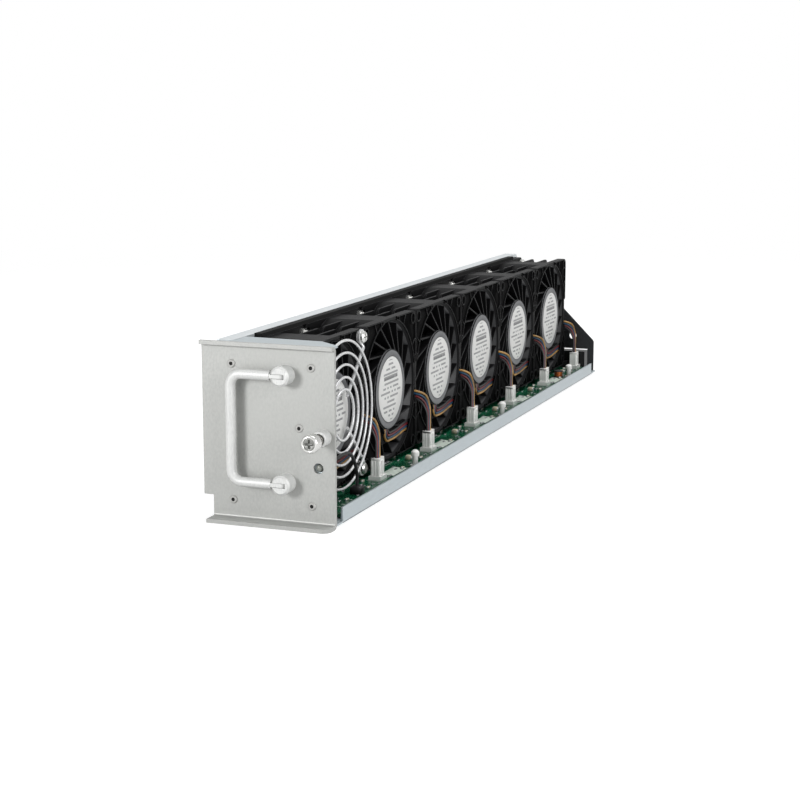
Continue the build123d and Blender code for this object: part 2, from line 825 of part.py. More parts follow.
def handle_posts():
    # Two studs riveted to the panel, each slotted for the flat end of the handle.
    posts = []
    for z in post_heights():
        post = rod_y(post_radius, -post_height, 0, handle_x, z)
        post = chamfer(post.edges().sort_by(Axis.Y)[0], post_bevel)
        post += rod_y(post_shank, 0, bulkhead_rear, handle_x, z)
        low, high = z - tang_thick / 2 - slot_clearance, z + tang_thick / 2 + slot_clearance
        right = handle_x + tang_half + 2 * slot_clearance
        post -= slab(handle_x - post_radius - 1, right, -post_height - 1, -slot_floor, low, high)
        hole = rod_z(pin_radius, z - post_radius + 0.4, z + post_radius - 0.4, handle_x, -bar_stand)
        posts.append(post - hole)
    return posts


def handle_pins():
    pins = []
    for z in post_heights():
        pins.append(rod_z(pin_radius, z - post_radius + 0.4, z + post_radius - 0.4, handle_x, -bar_stand))
    return pins


def handle_bail():
    # Round bar bent into a bail that lies to the left along the panel, with flattened ends.
    low, high = post_heights()
    x0, x1 = handle_x - shoulder, handle_x - handle_leg
    run = [(x0, -bar_stand, low), (x1, -bar_stand, low), (x1, -bar_stand, high), (x0, -bar_stand, high)]
    path = FilletPolyline(*run, radius=bar_bend)
    bail = sweep(Plane(path @ 0, z_dir=path % 0) * Circle(bar_radius), path=path)
    for z in (low, high):
        half = tang_thick / 2
        bail += slab(x0 - 2, handle_x, -bar_stand - tang_half, -bar_stand + tang_half, z - half, z + half)
        bail += rod_z(tang_half, z - half, z + half, handle_x, -bar_stand)
        bail -= rod_z(pin_radius + pin_clearance, z - half - 1, z + half + 1, handle_x, -bar_stand)
    return bail


def captive_ferrule():
    # Pressed bush in the panel that guides the screw and holds it back by a lip at its rear end.
    body = rod_y(ferrule_radius, -ferrule_height, 0, captive_x, captive_z)
    body = chamfer(body.edges().sort_by(Axis.Y)[0], 0.6)
    body += rod_y(ferrule_shank, 0, bulkhead_rear, captive_x, captive_z)
    body -= rod_y(ferrule_bore, -ferrule_height - 1, bulkhead_rear - ferrule_lip, captive_x, captive_z)
    return body - rod_y(ferrule_lip_hole, -1, bulkhead_rear + 1, captive_x, captive_z)


def captive_screw():
    # Knob with a cross recess, its neck and the threaded end behind the bush's lip.
    x, z = captive_x, captive_z
    knob = rod_y(knob_radius, knob_front, knob_rear, x, z)
    knob = chamfer(knob.edges().filter_by(GeomType.CIRCLE), knob_bevel)
    half_long, half_wide = recess_length / 2, recess_width / 2
    floor = knob_front + recess_depth
    knob -= slab(x - half_long, x + half_long, knob_front - 1, floor, z - half_wide, z + half_wide)
    knob -= slab(x - half_wide, x + half_wide, knob_front - 1, floor, z - half_long, z + half_long)
    thread_start = bulkhead_rear + thread_gap
    knob += rod_y(neck_radius, knob_rear - 1, thread_start + 1, x, z)
    end = rod_y(thread_radius, thread_start, thread_start + thread_length, x, z)
    return knob + chamfer(end.edges().sort_by(Axis.Y)[-1], 0.6)


def captive_washer():
    # Loose between the knob and the spring.
    start = knob_rear + washer_gap
    body = rod_y(washer_radius, start, start + washer_thick, captive_x, captive_z)
    return body - rod_y(neck_radius + 0.1, start - 1, start + washer_thick + 1, captive_x, captive_z)


def captive_spring():
    # Coil spring between the washer and the bottom of the bush.
    start = knob_rear + washer_gap + washer_thick + spring_wire + 0.05
    end = bulkhead_rear - ferrule_lip - spring_wire - 0.05
    coil = Helix(pitch=(end - start) / spring_turns, height=end - start, radius=spring_radius)
    section = Plane(coil @ 0, z_dir=coil % 0) * Circle(spring_wire)
    spring = sweep(section, path=coil, is_frenet=True)
    return Pos(captive_x, start, captive_z) * Rot(-90, 0, 0) * spring


def status_lamp():
    # Lamp body behind the bulkhead with its lens set back in the panel's window.
    rear = bulkhead_rear + lamp_flange_thick
    lamp = rod_y(lamp_radius, lamp_recess, bulkhead_rear, lamp_x, lamp_z)
    lamp = chamfer(lamp.edges().sort_by(Axis.Y)[0], lamp_bevel)
    lamp += rod_y(lamp_flange, bulkhead_rear, rear, lamp_x, lamp_z)
    return lamp + rod_y(lamp_radius + 0.4, rear, bulkhead_rear + lamp_length, lamp_x, lamp_z)


def lamp_cable_run():
    # Cable from the lamp along the guard and down to its header on the board.
    top = board_top + lamp_header_size[2]
    x, y = lamp_header_x, lamp_header_y
    guard_x, lamp_end = fan_right + guard_stand, bulkhead_rear + lamp_length
    route = [
        (lamp_x, lamp_end, lamp_z),
        (guard_x + 7.5, lamp_end + 9.0, lamp_z),
        (guard_x + 7.3, lamp_end + 20.0, lamp_z + 1.0),
        (guard_x + 6.3, y - 15.0, lamp_z - 0.2),
        (x + 0.6, y - 4.5, top + 13.5),
        (x, y, top + 6.0),
        (x, y, top),
    ]
    return tube(route, lamp_cable)


def circuit_board():
    board = slab(board_left, board_right, board_front, board_rear, board_bottom, board_top)
    for x, y in support_places():
        board -= rod_z(support_pin + support_clearance, board_bottom - 1, board_top + 1, x, y)
    for x, y in board_screw_places():
        board -= rod_z(board_screw_radius + 0.05, board_bottom - 1, board_top + 1, x, y)
    return board


def support_places():
    # Nylon supports beside the second, fourth and sixth fan.
    return [(half_panel - post_x_inset, fan_y + k * fan_pitch) for k in range(1, fan_count, 2)]


def board_screw_places():
    return [(board_screw_x, fan_y + k * fan_pitch - half_hole) for k in range(1, fan_count, 2)]


def board_supports():
    # Nylon posts snapped through the board into the tray.
    posts = []
    for x, y in support_places():
        top = board_top + support_height
        post = rod_z(support_pin, base_lift, board_top + 0.5, x, y)
        post += rod_z(support_flange, board_top, board_top + 0.8, x, y)
        post += rod_z(support_stem, board_top + 0.8, top - 3.6, x, y)
        head = rod_z(support_head, top - 3.6, top, x, y)
        posts.append(post + chamfer(head.edges().sort_by(Axis.Z)[-1], 1.2))
    return posts


def board_screws():
    screws = []
    for x, y in board_screw_places():
        head = rod_z(board_head_radius, board_top, board_top + board_head_height, x, y)
        head = chamfer(head.edges().sort_by(Axis.Z)[-1], 0.5)
        screws.append(head + rod_z(board_screw_radius, base_lift, board_top, x, y))
    return screws


def plug_places():
    return [fan_y + k * fan_pitch + plug_after for k in range(fan_count)]


def plug_headers():
    # Low white shrouds soldered to the board, one for each fan.
    headers = []
    half_x = plug_size_x / 2 + plug_clearance
    half_y = plug_size_y / 2 + plug_clearance
    m = header_margin - plug_clearance
    for y in plug_places():
        top = board_top + header_height
        outer_x, outer_y = half_x + m, half_y + m
        body = slab(plug_x - outer_x, plug_x + outer_x, y - outer_y, y + outer_y, board_top, top)
        floor = board_top + header_floor
        well = slab(plug_x - half_x, plug_x + half_x, y - half_y, y + half_y, floor, top + 1)
        headers.append(body - well)
    return headers


def lead_plugs():
    # White plugs on the ends of the fans' leads, standing in the headers, with a latch rib.
    plugs = []
    for y in plug_places():
        low, top = board_top + header_floor, board_top + plug_top
        x0, x1 = plug_x - plug_size_x / 2, plug_x + plug_size_x / 2
        body = slab(x0, x1, y - plug_size_y / 2, y + plug_size_y / 2, low, top)
        plugs.append(body + slab(x1, x1 + 0.6, y - 1.2, y + 1.2, board_top + header_height + 1, top - 1))
    return plugs


def board_parts():
    # What is soldered to the board: a capacitor and a driver chip for each fan, a choke and the
    # lamp's header.
    parts = []
    sx, sy, sz = capacitor_size
    cx, cy, cz = chip_size
    for k in range(fan_count):
        y = fan_y + k * fan_pitch
        parts.append(block_on_board(capacitor_x, y + capacitor_after, sx, sy, sz))
        parts.append(block_on_board(chip_x, y, cx, cy, cz))
    choke_y = fan_y + (fan_count - 1) * fan_pitch - choke_back
    choke = rod_z(choke_radius, board_top, board_top + choke_height, choke_x, choke_y)
    parts.append(choke)
    parts.append(block_on_board(lamp_header_x, lamp_header_y, *lamp_header_size))
    return parts


def block_on_board(x, y, size_x, size_y, size_z):
    half_x, half_y = size_x / 2, size_y / 2
    return slab(x - half_x, x + half_x, y - half_y, y + half_y, board_top, board_top + size_z)


def rear_plate():
    # Dark plate across the rear end: cut off at 45 degrees, with a window for the connector and a
    # guide hole.
    right = half_panel - rear_inset
    left = wall_inner
    slope_top = rear_side + (right - left)
    outline = make_face(
        Polyline((left, base_lift), (right, base_lift), (right, rear_side), (left, slope_top), close=True)
    )
    outline = fillet(near_vertex(outline, right, rear_side), rear_corner)
    plate = Pos(0, tray_rear, 0) * Rot(90, 0, 0) * extrude(outline, amount=rear_sheet)
    plate -= slab(left - 1, right + 1, rear_y - 1, tray_rear + 1, base_lift - 1, floor_top)
    window_end = half_panel - window_right
    window_start, window_low = window_end - window_width, floor_top + 0.6
    plate -= slab(window_start, window_end, rear_y - 1, tray_rear + 1, window_low, window_top)
    plate -= rod_y(guide_hole_radius, rear_y - 1, tray_rear + 1, guide_hole_x, guide_hole_z)
    plate += slab(left, left + rear_sheet, rear_y - rear_flange, rear_y, floor_top, flange_top)
    for x, z in rear_rivet_places():
        plate -= rod_y(rivet_shank + 0.1, rear_y - 1, tray_rear + 1, x, z)
    for y, z in side_rivet_places():
        plate -= rod_x(rivet_shank + 0.1, left - 1, left + rear_sheet + 1, y, z)
    return plate


def rear_connector():
    # Blind-mating connector on the end of the board, through the window of the rear plate.
    left, right = connector_left, connector_right
    body = slab(left, right, board_rear, connector_end, floor_top + 1.6, connector_top)
    inside = (floor_top + 1.6 + connector_wall, connector_top - connector_wall)
    mouth = (connector_end - connector_mouth, connector_end + 1)
    body -= slab(left + connector_wall, right - connector_wall, *mouth, *inside)
    tail_right = plug_x - plug_size_x / 2 - 3.0
    top = board_top + connector_tail_height
    return body + slab(left, tail_right, board_rear - connector_tail, board_rear, board_top, top)


def connector_contacts():
    # Two rows of flat contacts inside the connector.
    left, right = connector_left + contact_margin, connector_right - contact_margin
    count = 8
    step = (right - left) / (count - 1)
    contacts = []
    middle = (floor_top + 1.6 + connector_top) / 2
    for i in range(count):
        x = left + i * step
        for z in (middle - contact_rows, middle + contact_rows):
            ends = (connector_end - connector_mouth, connector_end - contact_recess)
            contacts.append(slab(x - 0.6, x + 0.6, *ends, z - 0.4, z + 0.4))
    return contacts


def pieces():
    # Every node by name, with its solids.
    nodes = {
        "front_panel": front_panel(),
        "front_bulkhead": front_bulkhead(),
        "base_tray": base_tray(),
        "rivets": panel_rivets() + tray_rivets(),
        "fan_wall": fan_wall(),
        "wall_gasket": wall_gasket(),
        "fan_screws": fan_screws(),
        "fan_nuts": fan_nuts(),
        "fan_guides": fan_guides(),
        "fan_labels": fan_labels(),
        "fan_bearings": fan_bearings(),
        "fan_stators": fan_stators(),
        "finger_guard": finger_guard(),
        "guard_screws": guard_screws(),
        "handle_posts": handle_posts(),
        "handle_pins": handle_pins(),
        "handle_bail": handle_bail(),
        "captive_ferrule": captive_ferrule(),
        "captive_screw": captive_screw(),
        "captive_washer": captive_washer(),
        "captive_spring": captive_spring(),
        "status_lamp": status_lamp(),
        "lamp_cable": lamp_cable_run(),
        "circuit_board": circuit_board(),
        "board_supports": board_supports(),
        "board_screws": board_screws(),
        "plug_headers": plug_headers(),
        "lead_plugs": lead_plugs(),
        "board_parts": board_parts(),
        "rear_plate": rear_plate(),
        "rear_connector": rear_connector(),
        "connector_contacts": connector_contacts(),
    }
    for number, colour in enumerate(("black", "red", "blue", "yellow")):
        nodes[f"leads_{colour}"] = leads(number)
    frame, impeller, shaft, magnet = fan_frame(), fan_impeller(), fan_shaft(), fan_magnet()
    for k in range(fan_count):
        place = Pos(0, k * fan_pitch, 0)
        nodes[f"fan_frame_{k + 1}"] = place * frame
        nodes[f"fan_impeller_{k + 1}"] = place * impeller
        nodes[f"fan_shaft_{k + 1}"] = place * shaft
        nodes[f"fan_magnet_{k + 1}"] = place * magnet
    return nodes


def write_parts():
    os.makedirs("parts", exist_ok=True)
    place = Pos(0, -(knob_front + connector_end) / 2, 0)
    for name, shape in pieces().items():
        solids = shape if isinstance(shape, list) else shape.solids()
        moved = [place * s for solid in solids for s in solid.solids()]
        export_step(Compound(children=moved) if len(moved) > 1 else moved[0], f"parts/{name}.step")


if __name__ == "__main__":
    write_parts()
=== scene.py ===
import bmesh
import bpy
import math
import numpy as np
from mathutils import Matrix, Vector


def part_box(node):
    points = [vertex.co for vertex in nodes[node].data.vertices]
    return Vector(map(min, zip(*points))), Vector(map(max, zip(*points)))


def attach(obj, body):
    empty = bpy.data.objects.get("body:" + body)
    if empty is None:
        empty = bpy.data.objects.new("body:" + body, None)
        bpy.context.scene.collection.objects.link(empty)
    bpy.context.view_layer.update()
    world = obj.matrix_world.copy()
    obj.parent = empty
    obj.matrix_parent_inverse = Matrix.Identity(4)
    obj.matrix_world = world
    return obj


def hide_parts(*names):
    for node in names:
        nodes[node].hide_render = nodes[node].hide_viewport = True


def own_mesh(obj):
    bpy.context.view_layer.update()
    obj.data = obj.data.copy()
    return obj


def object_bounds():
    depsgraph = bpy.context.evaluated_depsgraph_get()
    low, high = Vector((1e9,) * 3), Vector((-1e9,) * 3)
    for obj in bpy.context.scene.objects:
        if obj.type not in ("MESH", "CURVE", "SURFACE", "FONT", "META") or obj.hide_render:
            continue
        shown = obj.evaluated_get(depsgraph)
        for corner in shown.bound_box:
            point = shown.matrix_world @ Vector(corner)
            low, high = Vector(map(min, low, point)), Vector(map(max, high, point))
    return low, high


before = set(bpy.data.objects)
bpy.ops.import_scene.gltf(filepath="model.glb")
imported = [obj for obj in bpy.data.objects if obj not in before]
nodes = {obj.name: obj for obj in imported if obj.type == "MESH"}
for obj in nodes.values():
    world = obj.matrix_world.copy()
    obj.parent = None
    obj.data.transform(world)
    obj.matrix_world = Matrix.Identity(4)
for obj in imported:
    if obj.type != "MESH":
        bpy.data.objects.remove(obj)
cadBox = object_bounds()
mm = 0.001  # the frame is in metres, and sizes below are in millimetres
metre = 1000.0  # in millimetres


def spot(name):
    # Lowest and highest corner of a CAD node, in millimetres.
    low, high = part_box(name)
    return np.array(low) / mm, np.array(high) / mm


studio = {
    "cameraPlace": (358.53, -1009.21, 214.33),
    "cameraTurn": (90 - 10.2472, 0.0, 20.7828),
    "lens": 78.181,
    "sensor": 36,
    "nearest": 10.0,  # the camera doesn't draw what lies nearer
    "worldLight": 0.14,
    "worldShine": 0.85,
    "worldSeen": 1.0,
    "floor": "#b9b9b9",
    "floorHalf": 30000.0,
    "floorGlow": 0.78,
    "whiteFrom": 500.0,  # the floor turns to plain white between these distances from the middle
    "whiteAt": 1300.0,
    "lamps": (
        # place, aimed at, width and height, watts
        ((-512, -1200, 355), (0, -248, 45), (300, 300), 7.7),
        ((1450, -780, 600), (20, 0, 45), (1000, 900), 15.0),
        ((200, 350, 1500), (0, 0, 45), (900, 900), 13.0),
    ),
}


def hexColour(text):
    # An sRGB hex value as linear red, green, blue and alpha.
    parts = np.array([int(text[i : i + 2], 16) for i in (1, 3, 5)]) / 255
    linear = np.where(parts <= 0.04045, parts / 12.92, ((parts + 0.055) / 1.055) ** 2.4)
    return (*linear.tolist(), 1.0)


def addNode(tree, kind, inputs, **settings):
    # One shader node with its settings. An input is linked from a socket, or from the first socket of a
    # node, or else set to a value.
    node = tree.nodes.new("ShaderNode" + kind)
    for key, value in settings.items():
        setattr(node, key, value)
    for key, value in inputs.items():
        if isinstance(value, bpy.types.Node):
            value = value.outputs[0]
        if isinstance(value, bpy.types.NodeSocket):
            tree.links.new(value, node.inputs[key])
        else:
            node.inputs[key].default_value = value
    return node


def emptyMaterial(name):
    material = bpy.data.materials.new(name)
    material.use_nodes = True
    material.node_tree.nodes.clear()
    return material, material.node_tree


def makeCamera():
    scene = bpy.context.scene
    lens = bpy.data.cameras.new("camera")
    lens.lens, lens.sensor_width, lens.clip_start = studio["lens"], studio["sensor"], studio["nearest"] * mm
    camera = bpy.data.objects.new("camera", lens)
    camera.location = [v * mm for v in studio["cameraPlace"]]
    camera.rotation_euler = [math.radians(v) for v in studio["cameraTurn"]]
    scene.collection.objects.link(camera)
    scene.camera = camera
    scene.view_settings.view_transform = "Standard"


def makeLamps():
    # Softboxes, each turned so that it faces the place it is aimed at.
    for number, (place, target, size, watts) in enumerate(studio["lamps"]):
        light = bpy.data.lights.new(f"softbox{number}", "AREA")
        light.shape = "RECTANGLE"
        light.size, light.size_y = size[0] * mm, size[1] * mm
        light.energy = watts
        lamp = bpy.data.objects.new(f"softbox{number}", light)
        aim = np.array(target, float) - np.array(place, float)
        lamp.location = np.array(place, float) * mm
        lean = math.atan2(math.hypot(aim[0], aim[1]), -aim[2])
        lamp.rotation_euler = (lean, 0, math.atan2(aim[0], -aim[1]) + math.pi)
        bpy.context.scene.collection.objects.link(lamp)


def makeWorld():
    # A plain grey for light, paler in reflections, and white where the camera sees it.
    world = bpy.data.worlds.new("studio")
    bpy.context.scene.world = world
    world.use_nodes = True
    tree = world.node_tree
    tree.nodes.clear()
    path = addNode(tree, "LightPath", {})
    mirrored = {0: path.outputs["Is Glossy Ray"], 1: path.outputs["Is Transmission Ray"]}
    shine = addNode(tree, "Math", mirrored, operation="MAXIMUM")
    light, glossy, seen = [
        addNode(tree, "Background", {"Color": hexColour("#ffffff"), "Strength": studio[key]})
        for key in ("worldLight", "worldShine", "worldSeen")
    ]
    both = addNode(tree, "MixShader", {0: shine, 1: light, 2: glossy})
    final = addNode(tree, "MixShader", {0: path.outputs["Is Camera Ray"], 1: both, 2: seen})
    addNode(tree, "OutputWorld", {"Surface": final})


def makeFloor():
    # A wide plane under the object. Its own grey takes the light and the shadow, and what a camera, a
    # mirror or glass sees of it has a glow added, up to plain white away from the object.
    half = studio["floorHalf"] * mm
    outline = [(-half, -half, 0), (half, -half, 0), (half, half, 0), (-half, half, 0)]
    mesh = bpy.data.meshes.new("floor")
    mesh.from_pydata(outline, [], [(0, 1, 2, 3)])
    floor = bpy.data.objects.new("floor", mesh)
    bpy.context.scene.collection.objects.link(floor)
    material, tree = emptyMaterial("paperFloor")
    path = addNode(tree, "LightPath", {})
    mirrored = {0: path.outputs["Is Glossy Ray"], 1: path.outputs["Is Transmission Ray"]}
    shine = addNode(tree, "Math", mirrored, operation="MAXIMUM")
    seen = addNode(tree, "Math", {0: path.outputs["Is Camera Ray"], 1: shine}, operation="MAXIMUM")
    strength = addNode(tree, "Math", {0: seen, 1: studio["floorGlow"]}, operation="MULTIPLY")
    paper = addNode(tree, "BsdfDiffuse", {"Color": hexColour(studio["floor"])})
    glow = addNode(tree, "Emission", {"Color": hexColour("#ffffff"), "Strength": strength})
    near = addNode(tree, "AddShader", {0: paper, 1: glow})
    white = addNode(tree, "Emission", {"Color": hexColour("#ffffff"), "Strength": 1.0})
    place = addNode(tree, "TexCoord", {})
    away = addNode(tree, "VectorMath", {0: place.outputs["Object"]}, operation="LENGTH").outputs["Value"]
    reach = {"Value": away, "From Min": studio["whiteFrom"] * mm, "From Max": studio["whiteAt"] * mm}
    fade = addNode(tree, "MapRange", reach, interpolation_type="SMOOTHSTEP")
    share = addNode(tree, "Math", {0: fade, 1: path.outputs["Is Camera Ray"]}, operation="MULTIPLY")
    both = addNode(tree, "MixShader", {0: share, 1: near, 2: white})
    addNode(tree, "OutputMaterial", {"Surface": both})
    mesh.materials.append(material)


makeCamera()
makeLamps()
makeWorld()
makeFloor()
print("studio made")
